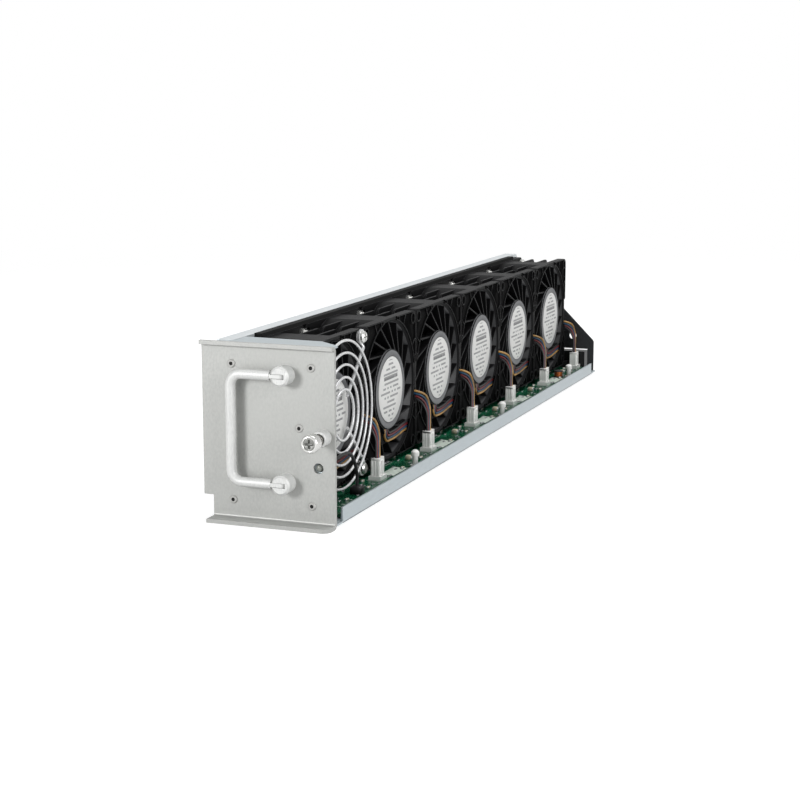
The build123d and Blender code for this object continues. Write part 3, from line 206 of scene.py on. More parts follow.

# Each finish: two shades that the fine grain mixes; a broad mottle's shade, size and share; the grain's size
# along X, Y and Z; how metallic it is, where it is; the lowest and highest roughness; the height of the
# relief; how much it shines, where that isn't the usual half; and the width, shade and share of the paler
# edges, a painted highlight that partly stands for real rubbing.

finishes = {
    # Zinc-nickel plated sheet, tumbled satin: an even neutral grey with a fine faint mottle.
    "satinPlatedSheet": {
        "shades": ("#a3a4a2", "#b1b2af"), "mottle": ("#adaeab", 26.0, 0.5), "grain": (0.9, 0.9, 1.6),
        "metallic": 0.4, "roughness": (0.4, 0.52), "relief": 0.004, "edge": (0.22, "#d2d3d0", 0.5),
    },
    # Zinc-plated mild steel: cool light grey, smooth from the mill, with soft clouds.
    "zincPlatedSheet": {
        "shades": ("#a6b0b4", "#bac3c7"), "mottle": ("#b1bbbf", 30.0, 0.5), "grain": (0.9, 6.0, 0.9),
        "metallic": 0.45, "roughness": (0.3, 0.44), "relief": 0.004, "edge": (0.2, "#eef2f4", 0.45),
    },
    # The wall's sheet: the same zinc plating as the tray, coloured paler as painted sheen for the light it
    # reflects at a grazing angle.
    "paintedSheenZincSheet": {
        "shades": ("#ccd3d6", "#e0e5e7"), "mottle": ("#d7dddf", 34.0, 0.5), "grain": (0.9, 6.0, 0.9),
        "metallic": 0.4, "roughness": (0.28, 0.42), "relief": 0.004, "edge": (0.2, "#f4f6f7", 0.45),
    },
    # Nickel-plated turned steel: bright, with faint turning marks.
    "nickelPlatedSteel": {
        "shades": ("#b9b9b6", "#dddddb"), "mottle": ("#cdcdca", 6.0, 0.3), "grain": (0.25, 0.6, 0.25),
        "metallic": 0.95, "roughness": (0.18, 0.32), "relief": 0.004, "edge": (0.12, "#f0f0ee", 0.6),
    },
    # The same plating in the dish of the knob, left dull from casting, and coloured darker as painted shade
    # in the recess.
    "paintedShadeKnobDish": {
        "shades": ("#71726f", "#9b9c99"), "mottle": ("#868784", 1.6, 0.5), "grain": (0.35, 0.35, 0.35),
        "metallic": 0.6, "roughness": (0.4, 0.56), "relief": 0.02, "edge": (0.1, "#c3c4c1", 0.5),
    },
    # Aluminium rivets: soft grey, the heads half matt from their snap.
    "plainAluminium": {
        "shades": ("#a4a4a1", "#b9b9b6"), "mottle": ("#aeaeab", 3.0, 0.4), "grain": (0.3, 0.3, 0.3),
        "metallic": 0.3, "roughness": (0.46, 0.58), "relief": 0.006, "edge": (0.12, "#c9c9c6", 0.4),
    },
    # Satin-chromed round bar: pale silver, soft highlights.
    "satinChromedBar": {
        "shades": ("#d3d4d3", "#e6e7e5"), "mottle": ("#dddedc", 14.0, 0.3), "grain": (0.5, 0.5, 2.5),
        "metallic": 0.15, "roughness": (0.42, 0.55), "relief": 0.003, "edge": (0.2, "#f6f6f4", 0.4),
    },
    # Bright zinc-plated drawn wire: pale, with fine lengthwise draw marks.
    "brightPlatedWire": {
        "shades": ("#c9cacb", "#ececed"), "mottle": ("#dadbdc", 5.0, 0.3), "grain": (0.3, 0.8, 0.8),
        "metallic": 0.3, "roughness": (0.2, 0.32), "relief": 0.002, "edge": (0.1, "#f0f0f0", 0.3),
    },
    # Spring steel wire, oiled: darker and smooth.
    "springSteelWire": {
        "shades": ("#84827d", "#b3b1ac"), "mottle": ("#989690", 3.0, 0.3), "grain": (0.2, 0.5, 0.2),
        "metallic": 1.0, "roughness": (0.22, 0.34), "relief": 0.002, "edge": (0.1, "#cfcdc8", 0.3),
    },
    # Glass-filled polyester, moulded black with a fine spark texture: dull, its edges painted grey as a
    # highlight, partly real rubbing.
    "mouldedBlackPolyester": {
        "shades": ("#0d0d0e", "#171718"), "mottle": ("#121213", 9.0, 0.4), "grain": (0.45, 0.45, 0.45),
        "roughness": (0.4, 0.56), "relief": 0.02, "shine": 0.06, "edge": (0.3, "#525355", 0.7),
    },
    # The same polyester on the impeller, from a polished tool: a little glossier.
    "polishedBlackPolyester": {
        "shades": ("#0c0c0d", "#151516"), "mottle": ("#101011", 12.0, 0.3), "grain": (0.8, 0.8, 0.8),
        "roughness": (0.26, 0.38), "relief": 0.006, "shine": 0.12, "edge": (0.25, "#47484a", 0.6),
    },
    # The housing's bore: smooth from a polished core, and coloured paler than the housing as painted light on
    # its wall.
    "paintedLightBore": {
        "shades": ("#232325", "#2f3032"), "mottle": ("#2a2a2c", 14.0, 0.4), "grain": (2.5, 0.8, 0.8),
        "roughness": (0.34, 0.48), "relief": 0.004, "shine": 0.3, "edge": (0.2, "#3f4042", 0.3),
    },
    # The bottom of the pockets in the housing's corners: painted shade, near black for the shade that falls
    # deep in them.
    "paintedShadePocket": {
        "shades": ("#050505", "#0a0a0b"), "mottle": ("#070708", 5.0, 0.4), "grain": (0.45, 0.45, 0.45),
        "roughness": (0.7, 0.85), "relief": 0.01, "shine": 0.03, "edge": (0.1, "#101011", 0.2),
    },
    # Painted shadow: a dark line along the bottom of the rail, for the shade where it meets the floor.
    "paintedRailShadow": {
        "shades": ("#3f4448", "#5a6064"), "mottle": ("#4b5154", 9.0, 0.5), "grain": (0.4, 2.5, 0.4),
        "metallic": 0.5, "roughness": (0.45, 0.6), "relief": 0.01, "edge": (0.05, "#6d7276", 0.3),
    },
    # The hub's face: the same polyester, coloured mid grey as a painted sheen for the light its raised face
    # reflects.
    "paintedSheenHub": {
        "shades": ("#5d5f61", "#707174"), "mottle": ("#67686b", 8.0, 0.4), "grain": (0.4, 0.4, 0.4),
        "roughness": (0.42, 0.56), "relief": 0.012, "edge": (0.3, "#8a8b8d", 0.5),
    },
    # Closed-cell neoprene foam: black, matt, with pinholes.
    "closedCellFoam": {
        "shades": ("#0c0c0d", "#202020"), "mottle": ("#151515", 6.0, 0.5), "grain": (0.7, 0.7, 0.7),
        "roughness": (0.8, 0.95), "relief": 0.12, "shine": 0.2, "edge": (0.3, "#2c2c2c", 0.4),
    },
    # Nylon, moulded bright white: slightly waxy.
    "whiteNylon": {
        "shades": ("#f1f1ee", "#fbfbf9"), "mottle": ("#f6f6f4", 3.0, 0.4), "grain": (0.35, 0.35, 0.35),
        "roughness": (0.32, 0.46), "relief": 0.008, "edge": (0.15, "#fbfbf8", 0.4),
    },
    # Dark grey powder coat on the rear plate: fine orange peel.
    "darkPowderCoat": {
        "shades": ("#2a2b2d", "#3c3d40"), "mottle": ("#333436", 16.0, 0.4), "grain": (0.8, 0.8, 0.8),
        "roughness": (0.42, 0.58), "relief": 0.02, "shine": 0.3, "edge": (0.25, "#6d6e71", 0.5),
    },
    # Black glass-filled nylon of the connector: streaked, half matt.
    "connectorNylon": {
        "shades": ("#141415", "#242425"), "mottle": ("#1b1b1c", 5.0, 0.4), "grain": (1.6, 0.4, 0.4),
        "roughness": (0.34, 0.5), "relief": 0.012, "shine": 0.3, "edge": (0.2, "#515254", 0.5),
    },
    # Gold-flashed copper alloy contacts.
    "goldFlashedContact": {
        "shades": ("#b8923f", "#dcbc69"), "mottle": ("#caa754", 2.0, 0.3), "grain": (0.2, 0.8, 0.2),
        "metallic": 1.0, "roughness": (0.2, 0.32), "relief": 0.002, "edge": (0.08, "#f0d68c", 0.4),
    },
    # Enamelled copper wire in layers: the grain is the wire's pitch.
    "enamelledCopper": {
        "shades": ("#7d3f1c", "#c26c31"), "mottle": ("#9a5027", 3.0, 0.5), "grain": (4.0, 4.0, 0.45),
        "metallic": 0.6, "roughness": (0.26, 0.42), "relief": 0.06, "edge": (0.1, "#d98a4e", 0.3),
    },
    # Sintered ferrite: dark, dull.
    "sinteredFerrite": {
        "shades": ("#232325", "#3a3a3c"), "mottle": ("#2e2e30", 4.0, 0.4), "grain": (0.5, 0.5, 0.5),
        "metallic": 0.3, "roughness": (0.5, 0.7), "relief": 0.02, "edge": (0.15, "#5c5c5e", 0.4),
    },
    # Painted shade in the rivets' holes: the broken steel mandrel and the rim round the hole coloured near
    # black.
    "paintedShadeRivetHole": {
        "shades": ("#060606", "#131313"), "mottle": ("#0c0c0c", 1.0, 0.4), "grain": (0.3, 0.3, 0.3),
        "metallic": 0.2, "roughness": (0.6, 0.8), "relief": 0.01, "edge": (0.05, "#2b2b2b", 0.3),
    },
    # Black epoxy of the moulded parts on the board.
    "epoxyMoulding": {
        "shades": ("#161618", "#28282b"), "mottle": ("#1e1e20", 2.0, 0.4), "grain": (0.3, 0.3, 0.3),
        "roughness": (0.45, 0.6), "relief": 0.01, "shine": 0.35, "edge": (0.1, "#505054", 0.5),
    },
    # Fired ceramic chips: pale tan.
    "firedCeramic": {
        "shades": ("#b7aa92", "#d3c9b4"), "mottle": ("#c7bca5", 1.5, 0.4), "grain": (0.25, 0.25, 0.25),
        "roughness": (0.4, 0.55), "relief": 0.006, "edge": (0.08, "#e6dfce", 0.4),
    },
    # Tinned solder: soft silver, rippled where it froze.
    "tinnedSolder": {
        "shades": ("#b2b5b7", "#dadcde"), "mottle": ("#c5c8ca", 1.2, 0.4), "grain": (0.4, 0.4, 0.4),
        "metallic": 0.8, "roughness": (0.22, 0.38), "relief": 0.02, "edge": (0.06, "#f0f1f2", 0.4),
    },
    # Epoxy glass board under a green solder mask: glossy, the weave just showing through.
    "greenSolderMask": {
        "shades": ("#063f29", "#094e32"), "mottle": ("#09583a", 11.0, 0.45),
        "grain": (0.55, 0.55, 0.55), "roughness": (0.2, 0.32), "relief": 0.004, "shine": 0.3,
        "edge": (0.2, "#8f9a5c", 0.5),
    },
    # Copper tracks under the same mask: a paler green line.
    "maskedTrack": {
        "shades": ("#0f6f4a", "#158057"), "mottle": ("#127850", 6.0, 0.4), "grain": (0.5, 0.5, 0.5),
        "metallic": 0.1, "roughness": (0.2, 0.3), "relief": 0.002, "edge": (0.04, "#2fae80", 0.3),
    },
    # White screen-printed epoxy ink, a little thin, so that the green shades it.
    "screenPrintInk": {
        "shades": ("#c3d3c6", "#e3ebe2"), "mottle": ("#d5e0d5", 4.0, 0.5), "grain": (0.5, 0.5, 0.5),
        "roughness": (0.5, 0.66), "relief": 0.004, "edge": (0.03, "#f0f4ef", 0.3),
    },
    # Clear polycarbonate lens of the lamp, unlit: coloured grey as painted shade for its recess.
    "clearPolycarbonate": {
        "shades": ("#7c7f78", "#969992"), "mottle": ("#898c85", 2.0, 0.3), "grain": (0.8, 0.8, 0.8),
        "roughness": (0.08, 0.14), "relief": 0.002, "edge": (0.2, "#d5d8d0", 0.5),
    },
    # Soft black cable sheath: matt, with the twist of the wires showing through.
    "blackSheath": {
        "shades": ("#0e0e0f", "#202021"), "mottle": ("#161617", 4.0, 0.4), "grain": (0.6, 1.6, 0.6),
        "roughness": (0.5, 0.65), "relief": 0.02, "shine": 0.3, "edge": (0.1, "#303031", 0.3),
    },
}

# Lead insulation: extruded PVC, half glossy, with faint extrusion streaks; one shade pair per colour, and
# broad near-black clouds as painted shade between tangled wires.
insulation = {
    "extrudedPvcBlack": ("#101012", "#232326"),
    "extrudedPvcRed": ("#64141a", "#84222a"),
    "extrudedPvcBlue": ("#143d5c", "#1f5778"),
    "extrudedPvcYellow": ("#bd8b45", "#d4a763"),
}
for name, shades in insulation.items():
    finishes[name] = {
        # The near-black mottle is painted shade.
        "shades": shades, "mottle": ("#0b0b0d", 9.0, 0.6), "grain": (0.4, 1.2, 0.4),
        "roughness": (0.3, 0.42), "relief": 0.006, "edge": (0.1, shades[1], 0.2),
    }

# What all finishes share. A range is the part of a noise that is spread over the whole way.
common = {
    "grainRange": (0.3, 0.7),
    "grainDetail": 4.0,
    "cloudRange": (0.35, 0.65),
    "cloudDetail": 3.0,
    "cloudRoughness": 0.6,
    "edgeRange": (0.995, 0.8),  # cosines between the rounded and the true normal, from flat to edge
    "bump": 0.6,
    "shine": 0.5,
}


def makeFinish(name, settings):
    # Fine grain picks between two shades, roughness and relief; broad clouds tint it. The rounded normal
    # departs from the true one only near an edge, where a paler shade is painted on: a painted highlight,
    # partly real rubbing.
    material, tree = emptyMaterial(name)
    place = addNode(tree, "TexCoord", {}).outputs["Object"]
    grainScale = tuple(metre / size for size in settings["grain"])
    stretched = addNode(tree, "Mapping", {"Vector": place, "Scale": grainScale})
    grain = addNode(tree, "TexNoise", {"Vector": stretched, "Scale": 1.0, "Detail": common["grainDetail"]})
    low, high = common["grainRange"]
    spread = {"Value": grain, "From Min": low, "From Max": high}
    shades = [hexColour(text) for text in settings["shades"]]
    fine = addNode(
        tree, "Mix", {0: addNode(tree, "MapRange", spread), 6: shades[0], 7: shades[1]}, data_type="RGBA"
    )
    low, high = settings["roughness"]
    dull = addNode(tree, "MapRange", {**spread, "To Min": low, "To Max": high})
    shade, size, share = settings["mottle"]
    look = {"Scale": metre / size, "Detail": common["cloudDetail"], "Roughness": common["cloudRoughness"]}
    clouds = addNode(tree, "TexNoise", {"Vector": place, **look})
    low, high = common["cloudRange"]
    part = addNode(tree, "MapRange", {"Value": clouds, "From Min": low, "From Max": high, "To Max": share})
    tinted = addNode(tree, "Mix", {0: part, 6: fine.outputs[2], 7: hexColour(shade)}, data_type="RGBA")
    # Painted highlight on the edges, partly real rubbing: a paler shade mixed in where the rounded normal
    # turns away.
    width, shade, share = settings["edge"]
    rounded = addNode(tree, "Bevel", {"Radius": width * mm}, samples=4)
    normal = addNode(tree, "NewGeometry", {}).outputs["Normal"]
    same = addNode(tree, "VectorMath", {0: rounded, 1: normal}, operation="DOT_PRODUCT").outputs["Value"]
    low, high = common["edgeRange"]
    edgeSheenAndWear = addNode(tree, "MapRange", {"Value": same, "From Min": low, "From Max": high, "To Max": share})
    coloured = addNode(tree, "Mix", {0: edgeSheenAndWear, 6: tinted.outputs[2], 7: hexColour(shade)}, data_type="RGBA")
    height = {"Height": grain, "Distance": settings["relief"] * mm, "Strength": common["bump"]}
    relief = addNode(tree, "Bump", {**height, "Normal": rounded})
    surface = {
        "Base Color": coloured.outputs[2],
        "Metallic": settings.get("metallic", 0.0),
        "Specular IOR Level": settings.get("shine", common["shine"]),
        "Roughness": dull,
        "Normal": relief,
    }
    addNode(tree, "OutputMaterial", {"Surface": addNode(tree, "BsdfPrincipled", surface)})
    return material


made = {name: makeFinish(name, settings) for name, settings in finishes.items()}
print("finishes made:", len(made))

# Which CAD nodes wear which finish, by the start of their names.
dressedIn = {
    "satinPlatedSheet": ("front_panel",),
    "zincPlatedSheet": ("front_bulkhead", "base_tray"),
    "paintedSheenZincSheet": ("fan_wall",),
    "plainAluminium": ("rivets",),
    "nickelPlatedSteel": (
        "fan_screws", "fan_nuts", "fan_bearings", "fan_shaft", "guard_screws", "board_screws", "handle_pins",
        "captive_screw", "captive_washer",
    ),
    "satinChromedBar": ("captive_ferrule", "handle_posts", "handle_bail"),
    "brightPlatedWire": ("finger_guard",),
    "springSteelWire": ("captive_spring",),
    "closedCellFoam": ("wall_gasket",),
    "mouldedBlackPolyester": ("fan_guides", "fan_frame"),
    "polishedBlackPolyester": ("fan_impeller",),
    "sinteredFerrite": ("fan_magnet",),
    "enamelledCopper": ("fan_stators",),
    "whiteNylon": ("board_supports", "plug_headers", "lead_plugs", "fan_labels"),
    "darkPowderCoat": ("rear_plate",),
    "connectorNylon": ("rear_connector",),
    "goldFlashedContact": ("connector_contacts",),
    "epoxyMoulding": ("board_parts",),
    "clearPolycarbonate": ("status_lamp",),
    "blackSheath": ("lamp_cable",),
    "extrudedPvcBlack": ("leads_black",),
    "extrudedPvcRed": ("leads_red",),
    "extrudedPvcBlue": ("leads_blue",),
    "extrudedPvcYellow": ("leads_yellow",),
    "greenSolderMask": ("circuit_board",),
}
dressed = 0
for finish, starts in dressedIn.items():
    for name, node in nodes.items():
        if name.startswith(starts):
            node.data.materials.clear()
            node.data.materials.append(made[finish])
            dressed += 1
print("nodes dressed:", dressed, "of", len(nodes))


def buildPiece(name, grids, finish, body, uvs=None):
    # Joins grids of points into one mesh and rides it on a body. Each grid closes on itself in its first
    # direction; poles are closed and the faces turned outwards.
    points = np.concatenate([grid.reshape(-1, 3) for grid in grids])
    quads, start = [], 0
    for grid in grids:
        rows, columns = grid.shape[:2]
        index = start + np.arange(rows * columns).reshape(rows, columns)
        index = np.vstack([index, index[:1]])
        quads.append(np.stack([index[:-1, :-1], index[1:, :-1], index[1:, 1:], index[:-1, 1:]], -1))
        start += rows * columns
    quads = np.concatenate([part.reshape(-1, 4) for part in quads])
    mesh = bpy.data.meshes.new(name)
    mesh.vertices.add(len(points))
    mesh.vertices.foreach_set("co", (points * mm).astype(np.float32).ravel())
    mesh.loops.add(len(quads) * 4)
    mesh.loops.foreach_set("vertex_index", quads.ravel().astype(np.int32))
    mesh.polygons.add(len(quads))
    mesh.polygons.foreach_set("loop_start", np.arange(0, len(quads) * 4, 4, dtype=np.int32))
    mesh.polygons.foreach_set("use_smooth", np.ones(len(quads), bool))
    if uvs:
        flat = np.concatenate([uv.reshape(-1, 2) for uv in uvs])
        layer = mesh.uv_layers.new(name="face")
        layer.data.foreach_set("uv", flat[quads.ravel()].astype(np.float32).ravel())
    mesh.update()
    mesh.validate()
    shape = bmesh.new()
    shape.from_mesh(mesh)
    bmesh.ops.remove_doubles(shape, verts=shape.verts, dist=1e-7)
    bmesh.ops.dissolve_degenerate(shape, edges=shape.edges, dist=1e-8)
    bmesh.ops.recalc_face_normals(shape, faces=shape.faces)
    shape.to_mesh(mesh)
    shape.free()
    mesh.materials.append(finish)
    piece = bpy.data.objects.new(name, mesh)
    bpy.context.scene.collection.objects.link(piece)
    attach(piece, body)
    return piece


def turned(profile, axis, centre, count):
    # A turned shape: each (place along the axis, radius) of the profile goes round a line through the centre.
    angle = np.linspace(0, 2 * np.pi, count, endpoint=False)[:, None]
    along, radius = np.array(profile, float).T
    side, up = radius * np.cos(angle), radius * np.sin(angle)
    along = np.broadcast_to(along, side.shape)
    order = {"X": (along, side, up), "Y": (side, along, up), "Z": (side, up, along)}
    return np.stack(order[axis], -1) + np.array(centre, float)


def closeEnds(points):
    # A grid with its first and last section drawn to their middles.
    first = np.broadcast_to(points[:, :1].mean(0), points[:, :1].shape)
    last = np.broadcast_to(points[:, -1:].mean(0), points[:, -1:].shape)
    return np.concatenate([first, points, last], 1)


def roundedBox(centre, size, corner, bevel, perCorner=2):
    # A block on its base: a rounded rectangle carried up along Z, drawn in by the bevel at both ends and
    # closed to its middle.
    half = np.array(size[:2], float) / 2 - corner
    turn = np.linspace(0, np.pi / 2, perCorner)
    angle = (turn[None, :] + np.arange(4)[:, None] * np.pi / 2).ravel()
    arc = corner * np.stack([np.cos(angle), np.sin(angle)], -1)
    quarter = np.repeat([(1, 1), (-1, 1), (-1, -1), (1, -1)], perCorner, axis=0)
    edge, inner, middle = quarter * half + arc, quarter * (half - bevel) + arc, arc * 0
    levels = [(middle, 0), (inner, 0), (edge, bevel)]
    levels += [(edge, size[2] - bevel), (inner, size[2]), (middle, size[2])]
    points = [np.column_stack([flat, np.full(len(flat), high)]) for flat, high in levels]
    return np.stack(points, 1) + np.array(centre, float)


def ribbonAlong(path, width, height, base=0.0):
    # A flat ribbon: a low trapezium carried along a path in the plane, mitred at the turns.
    path = np.array(path, float)
    step = np.diff(path, axis=0)
    step /= np.linalg.norm(step, axis=1)[:, None]
    before, after = np.vstack([step[:1], step]), np.vstack([step, step[-1:]])
    middle = before + after
    middle /= np.linalg.norm(middle, axis=1)[:, None]
    reach = 1 / np.maximum(0.4, (middle * before).sum(1))
    side = np.column_stack([-middle[:, 1], middle[:, 0]]) * reach[:, None]
    across, up = np.array([-0.5, -0.4, 0.4, 0.5]) * width, np.array([0, 1, 1, 0]) * height
    flat = path[None] + across[:, None, None] * side[None]
    up = np.broadcast_to(up[:, None, None], (*flat.shape[:2], 1))
    return closeEnds(np.concatenate([flat, base + up], -1))


def stripAlong(path, across, width, thick):
    # A bent metal strip: a rectangle carried along a path, its width always along one direction.
    along = np.gradient(path, axis=0)
    along /= np.linalg.norm(along, axis=1)[:, None]
    across = np.broadcast_to(np.array(across, float), path.shape)
    out = np.cross(along, across)
    corners = ((-1, -1), (1, -1), (1, 1), (-1, 1))
    return closeEnds(np.stack([path + a * across * width / 2 + b * out * thick / 2 for a, b in corners]))


fanCentres = []
for k in range(1, 7):
    low, high = spot(f"fan_frame_{k}")
    fanCentres.append(((low[1] + high[1]) / 2, (low[2] + high[2]) / 2))
housingFace = spot("fan_frame_1")[1][0]
hubFace = spot("fan_guides")[1][0]
boardLow, boardHigh = spot("circuit_board")
boardTop = boardHigh[2]
panelSheet = 2.0
panelFace = spot("front_bulkhead")[0][1] - panelSheet

labelPaper = {
    "radius": 18.4,
    "edge": 0.06,  # how far the rim of the film rounds off
    "around": 72,
    "paper": "#ebebe9",
    "print": "#77787b",
    "bold": "#515254",
    "ink": (0.8, 0.75),  # strength of the plain and of the bold print
    "rows": 14.0,
    "words": 17.0,
    "bar": (0.5, 0.22),  # middle and half height of the printed part of a row
    "fill": (0.35, 0.92),  # the shortest and the longest row, as a share of the disc's width there
    "disc": 0.86,  # the printed disc's radius in label radii, squared
    "blank": 0.24,  # share of words left out
    "boldRow": (0.69, 0.03),  # middle and half height of the one bold row, over the disc
    "boldHalf": 0.56,
    "fibre": 0.6,
    "relief": 0.004,
    "roughness": (0.36, 0.5),
}


def makeLabelFinish(settings):
    # Printed polyester film: off-white and half glossy, with rows of plain grey bars of uneven length.
    # The printed disc's half width at a height is the root of its squared radius less the height squared.
    material, tree = emptyMaterial("printedPolyesterFilm")
    face = addNode(tree, "UVMap", {}, uv_map="face")
    parts = addNode(tree, "SeparateXYZ", {0: face})
    known = {"across": parts.outputs["X"], "up": parts.outputs["Y"]}
    # Each step: its result's name, what is done, and what with: earlier results or numbers.
    barSteps = (
        ("rowPlace", "MULTIPLY", "up", settings["rows"]),
        ("row", "FLOOR", "rowPlace"),
        ("inRow", "FRACT", "rowPlace"),
        ("band", "COMPARE", "inRow", *settings["bar"]),
        ("height", "MULTIPLY_ADD", "up", 2.0, -1.0),
        ("heightSquared", "MULTIPLY", "height", "height"),
        ("left", "SUBTRACT", settings["disc"], "heightSquared"),
        ("chord", "SQRT", "left"),
        ("side", "MULTIPLY_ADD", "across", 2.0, -1.0),
        ("wordPlace", "MULTIPLY", "across", settings["words"]),
        ("word", "FLOOR", "wordPlace"),
    )
    for name, operation, *given in barSteps:
        inputs = {i: known[v] if isinstance(v, str) else v for i, v in enumerate(given)}
        known[name] = addNode(tree, "Math", inputs, operation=operation)
    luck = addNode(tree, "TexWhiteNoise", {"W": known["row"]}, noise_dimensions="1D")
    shortest, longest = settings["fill"]
    known["share"] = addNode(tree, "MapRange", {"Value": luck, "To Min": shortest, "To Max": longest})
    cell = addNode(tree, "CombineXYZ", {"X": known["word"], "Y": known["row"]})
    known["chance"] = addNode(tree, "TexWhiteNoise", {"Vector": cell}, noise_dimensions="2D")
    inkSteps = (
        ("limit", "MULTIPLY", "chord", "share"),
        ("inside", "COMPARE", "side", 0.0, "limit"),
        ("bars", "MULTIPLY", "band", "inside"),
        ("kept", "GREATER_THAN", "chance", settings["blank"]),
        ("printed", "MULTIPLY", "bars", "kept"),
        ("plainInk", "MULTIPLY", "printed", settings["ink"][0]),
        ("boldBand", "COMPARE", "up", *settings["boldRow"]),
        ("boldSide", "COMPARE", "side", 0.0, settings["boldHalf"]),
        ("bold", "MULTIPLY", "boldBand", "boldSide"),
        ("boldInk", "MULTIPLY", "bold", settings["ink"][1]),
    )
    for name, operation, *given in inkSteps:
        inputs = {i: known[v] if isinstance(v, str) else v for i, v in enumerate(given)}
        known[name] = addNode(tree, "Math", inputs, operation=operation)
    paper, plain, bold = [hexColour(settings[key]) for key in ("paper", "print", "bold")]
    inked = addNode(tree, "Mix", {0: known["plainInk"], 6: paper, 7: plain}, data_type="RGBA")
    strong = addNode(tree, "Mix", {0: known["boldInk"], 6: inked.outputs[2], 7: bold}, data_type="RGBA")
    place = addNode(tree, "TexCoord", {}).outputs["Object"]
    fibres = addNode(tree, "TexNoise", {"Vector": place, "Scale": metre / settings["fibre"], "Detail": 3.0})
    low, high = settings["roughness"]
    dull = addNode(tree, "MapRange", {"Value": fibres, "To Min": low, "To Max": high})
    relief = addNode(tree, "Bump", {"Height": fibres, "Distance": settings["relief"] * mm, "Strength": 0.5})
    surface = {"Base Color": strong.outputs[2], "Roughness": dull, "Normal": relief}
    addNode(tree, "OutputMaterial", {"Surface": addNode(tree, "BsdfPrincipled", surface)})
    return material


def makeLabels():
    # A thin film on each hub: flat, with a rounded rim, and its UV laid flat over the disc.
    radius, edge, top = labelPaper["radius"], labelPaper["edge"], spot("fan_labels")[1][0]
    profile = [(top, 0.0), (top, radius * 0.5), (top, radius - edge), (top - edge * 0.3, radius - edge * 0.3)]
    profile += [(top - edge, radius), (hubFace, radius), (hubFace, 0.0)]
    grids = [turned(profile, "X", (0, y, z), labelPaper["around"]) for y, z in fanCentres]
    uvs = [(grid[..., 1:] - np.array(centre)) / (2 * radius) + 0.5 for grid, centre in zip(grids, fanCentres)]
    piece = buildPiece("hubLabels", grids, makeLabelFinish(labelPaper), "tray", uvs)
    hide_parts("fan_labels")
    print("labels made")


makeLabels()

hubCap = {"outer": 22.5, "round": 0.9, "proud": 0.05, "wall": 1.2, "skin": 0.2, "around": 72}


def makeHubCaps():
    # A ring over the rim of each hub: flat face, rounded edge, and a short skirt down the side.
    proud, wall, bend, skin = hubCap["proud"], hubCap["wall"], hubCap["round"], hubCap["skin"]
    outer, inner, face = hubCap["outer"] + proud, labelPaper["radius"] + proud, hubFace + proud
    turn = np.linspace(0, np.pi / 2, 6)
    corner = [(face - bend + bend * math.cos(t), outer - bend + bend * math.sin(t)) for t in turn]
    profile = [(face, inner), *corner, (face - wall, outer), (face - wall, outer - skin)]
    profile += [(face - skin, inner), (face, inner)]
    grids = [turned(profile, "X", (0, y, z), hubCap["around"]) for y, z in fanCentres]
    # The ring carries the hub's painted sheen: a mid grey for the light the raised face reflects.
    piece = buildPiece("hubSheenRings", grids, made["paintedSheenHub"], "tray")
    print("hub caps made")


makeHubCaps()

knob = {
    "grip": (1.1, 5.6),  # the knurled band, measured back from the front
    "proud": 0.12,
    "ridges": 26,
    "columns": 24,
    "dish": 3.0,  # radius and depth of the dish in the front face
    "dishDepth": 0.45,
    "recess": (2.2, 0.5, 1.9),  # half length, half width and depth of the cross
    "length": 6.8,
    "neck": 1.4,
    "thread": (2.0, 0.18, 0.7, 6.0),  # radius, groove depth, pitch and length
}


def crossOutline(angle, long, wide):
    # The outline of a plus sign as a radius for each angle: the larger of its two crossed bars there, and
    # a bar's outline is the nearer of its end and its side.
    side, end = np.abs(np.sin(angle)) + 1e-6, np.abs(np.cos(angle)) + 1e-6
    return np.maximum(np.minimum(long / end, wide / side), np.minimum(long / side, wide / end))


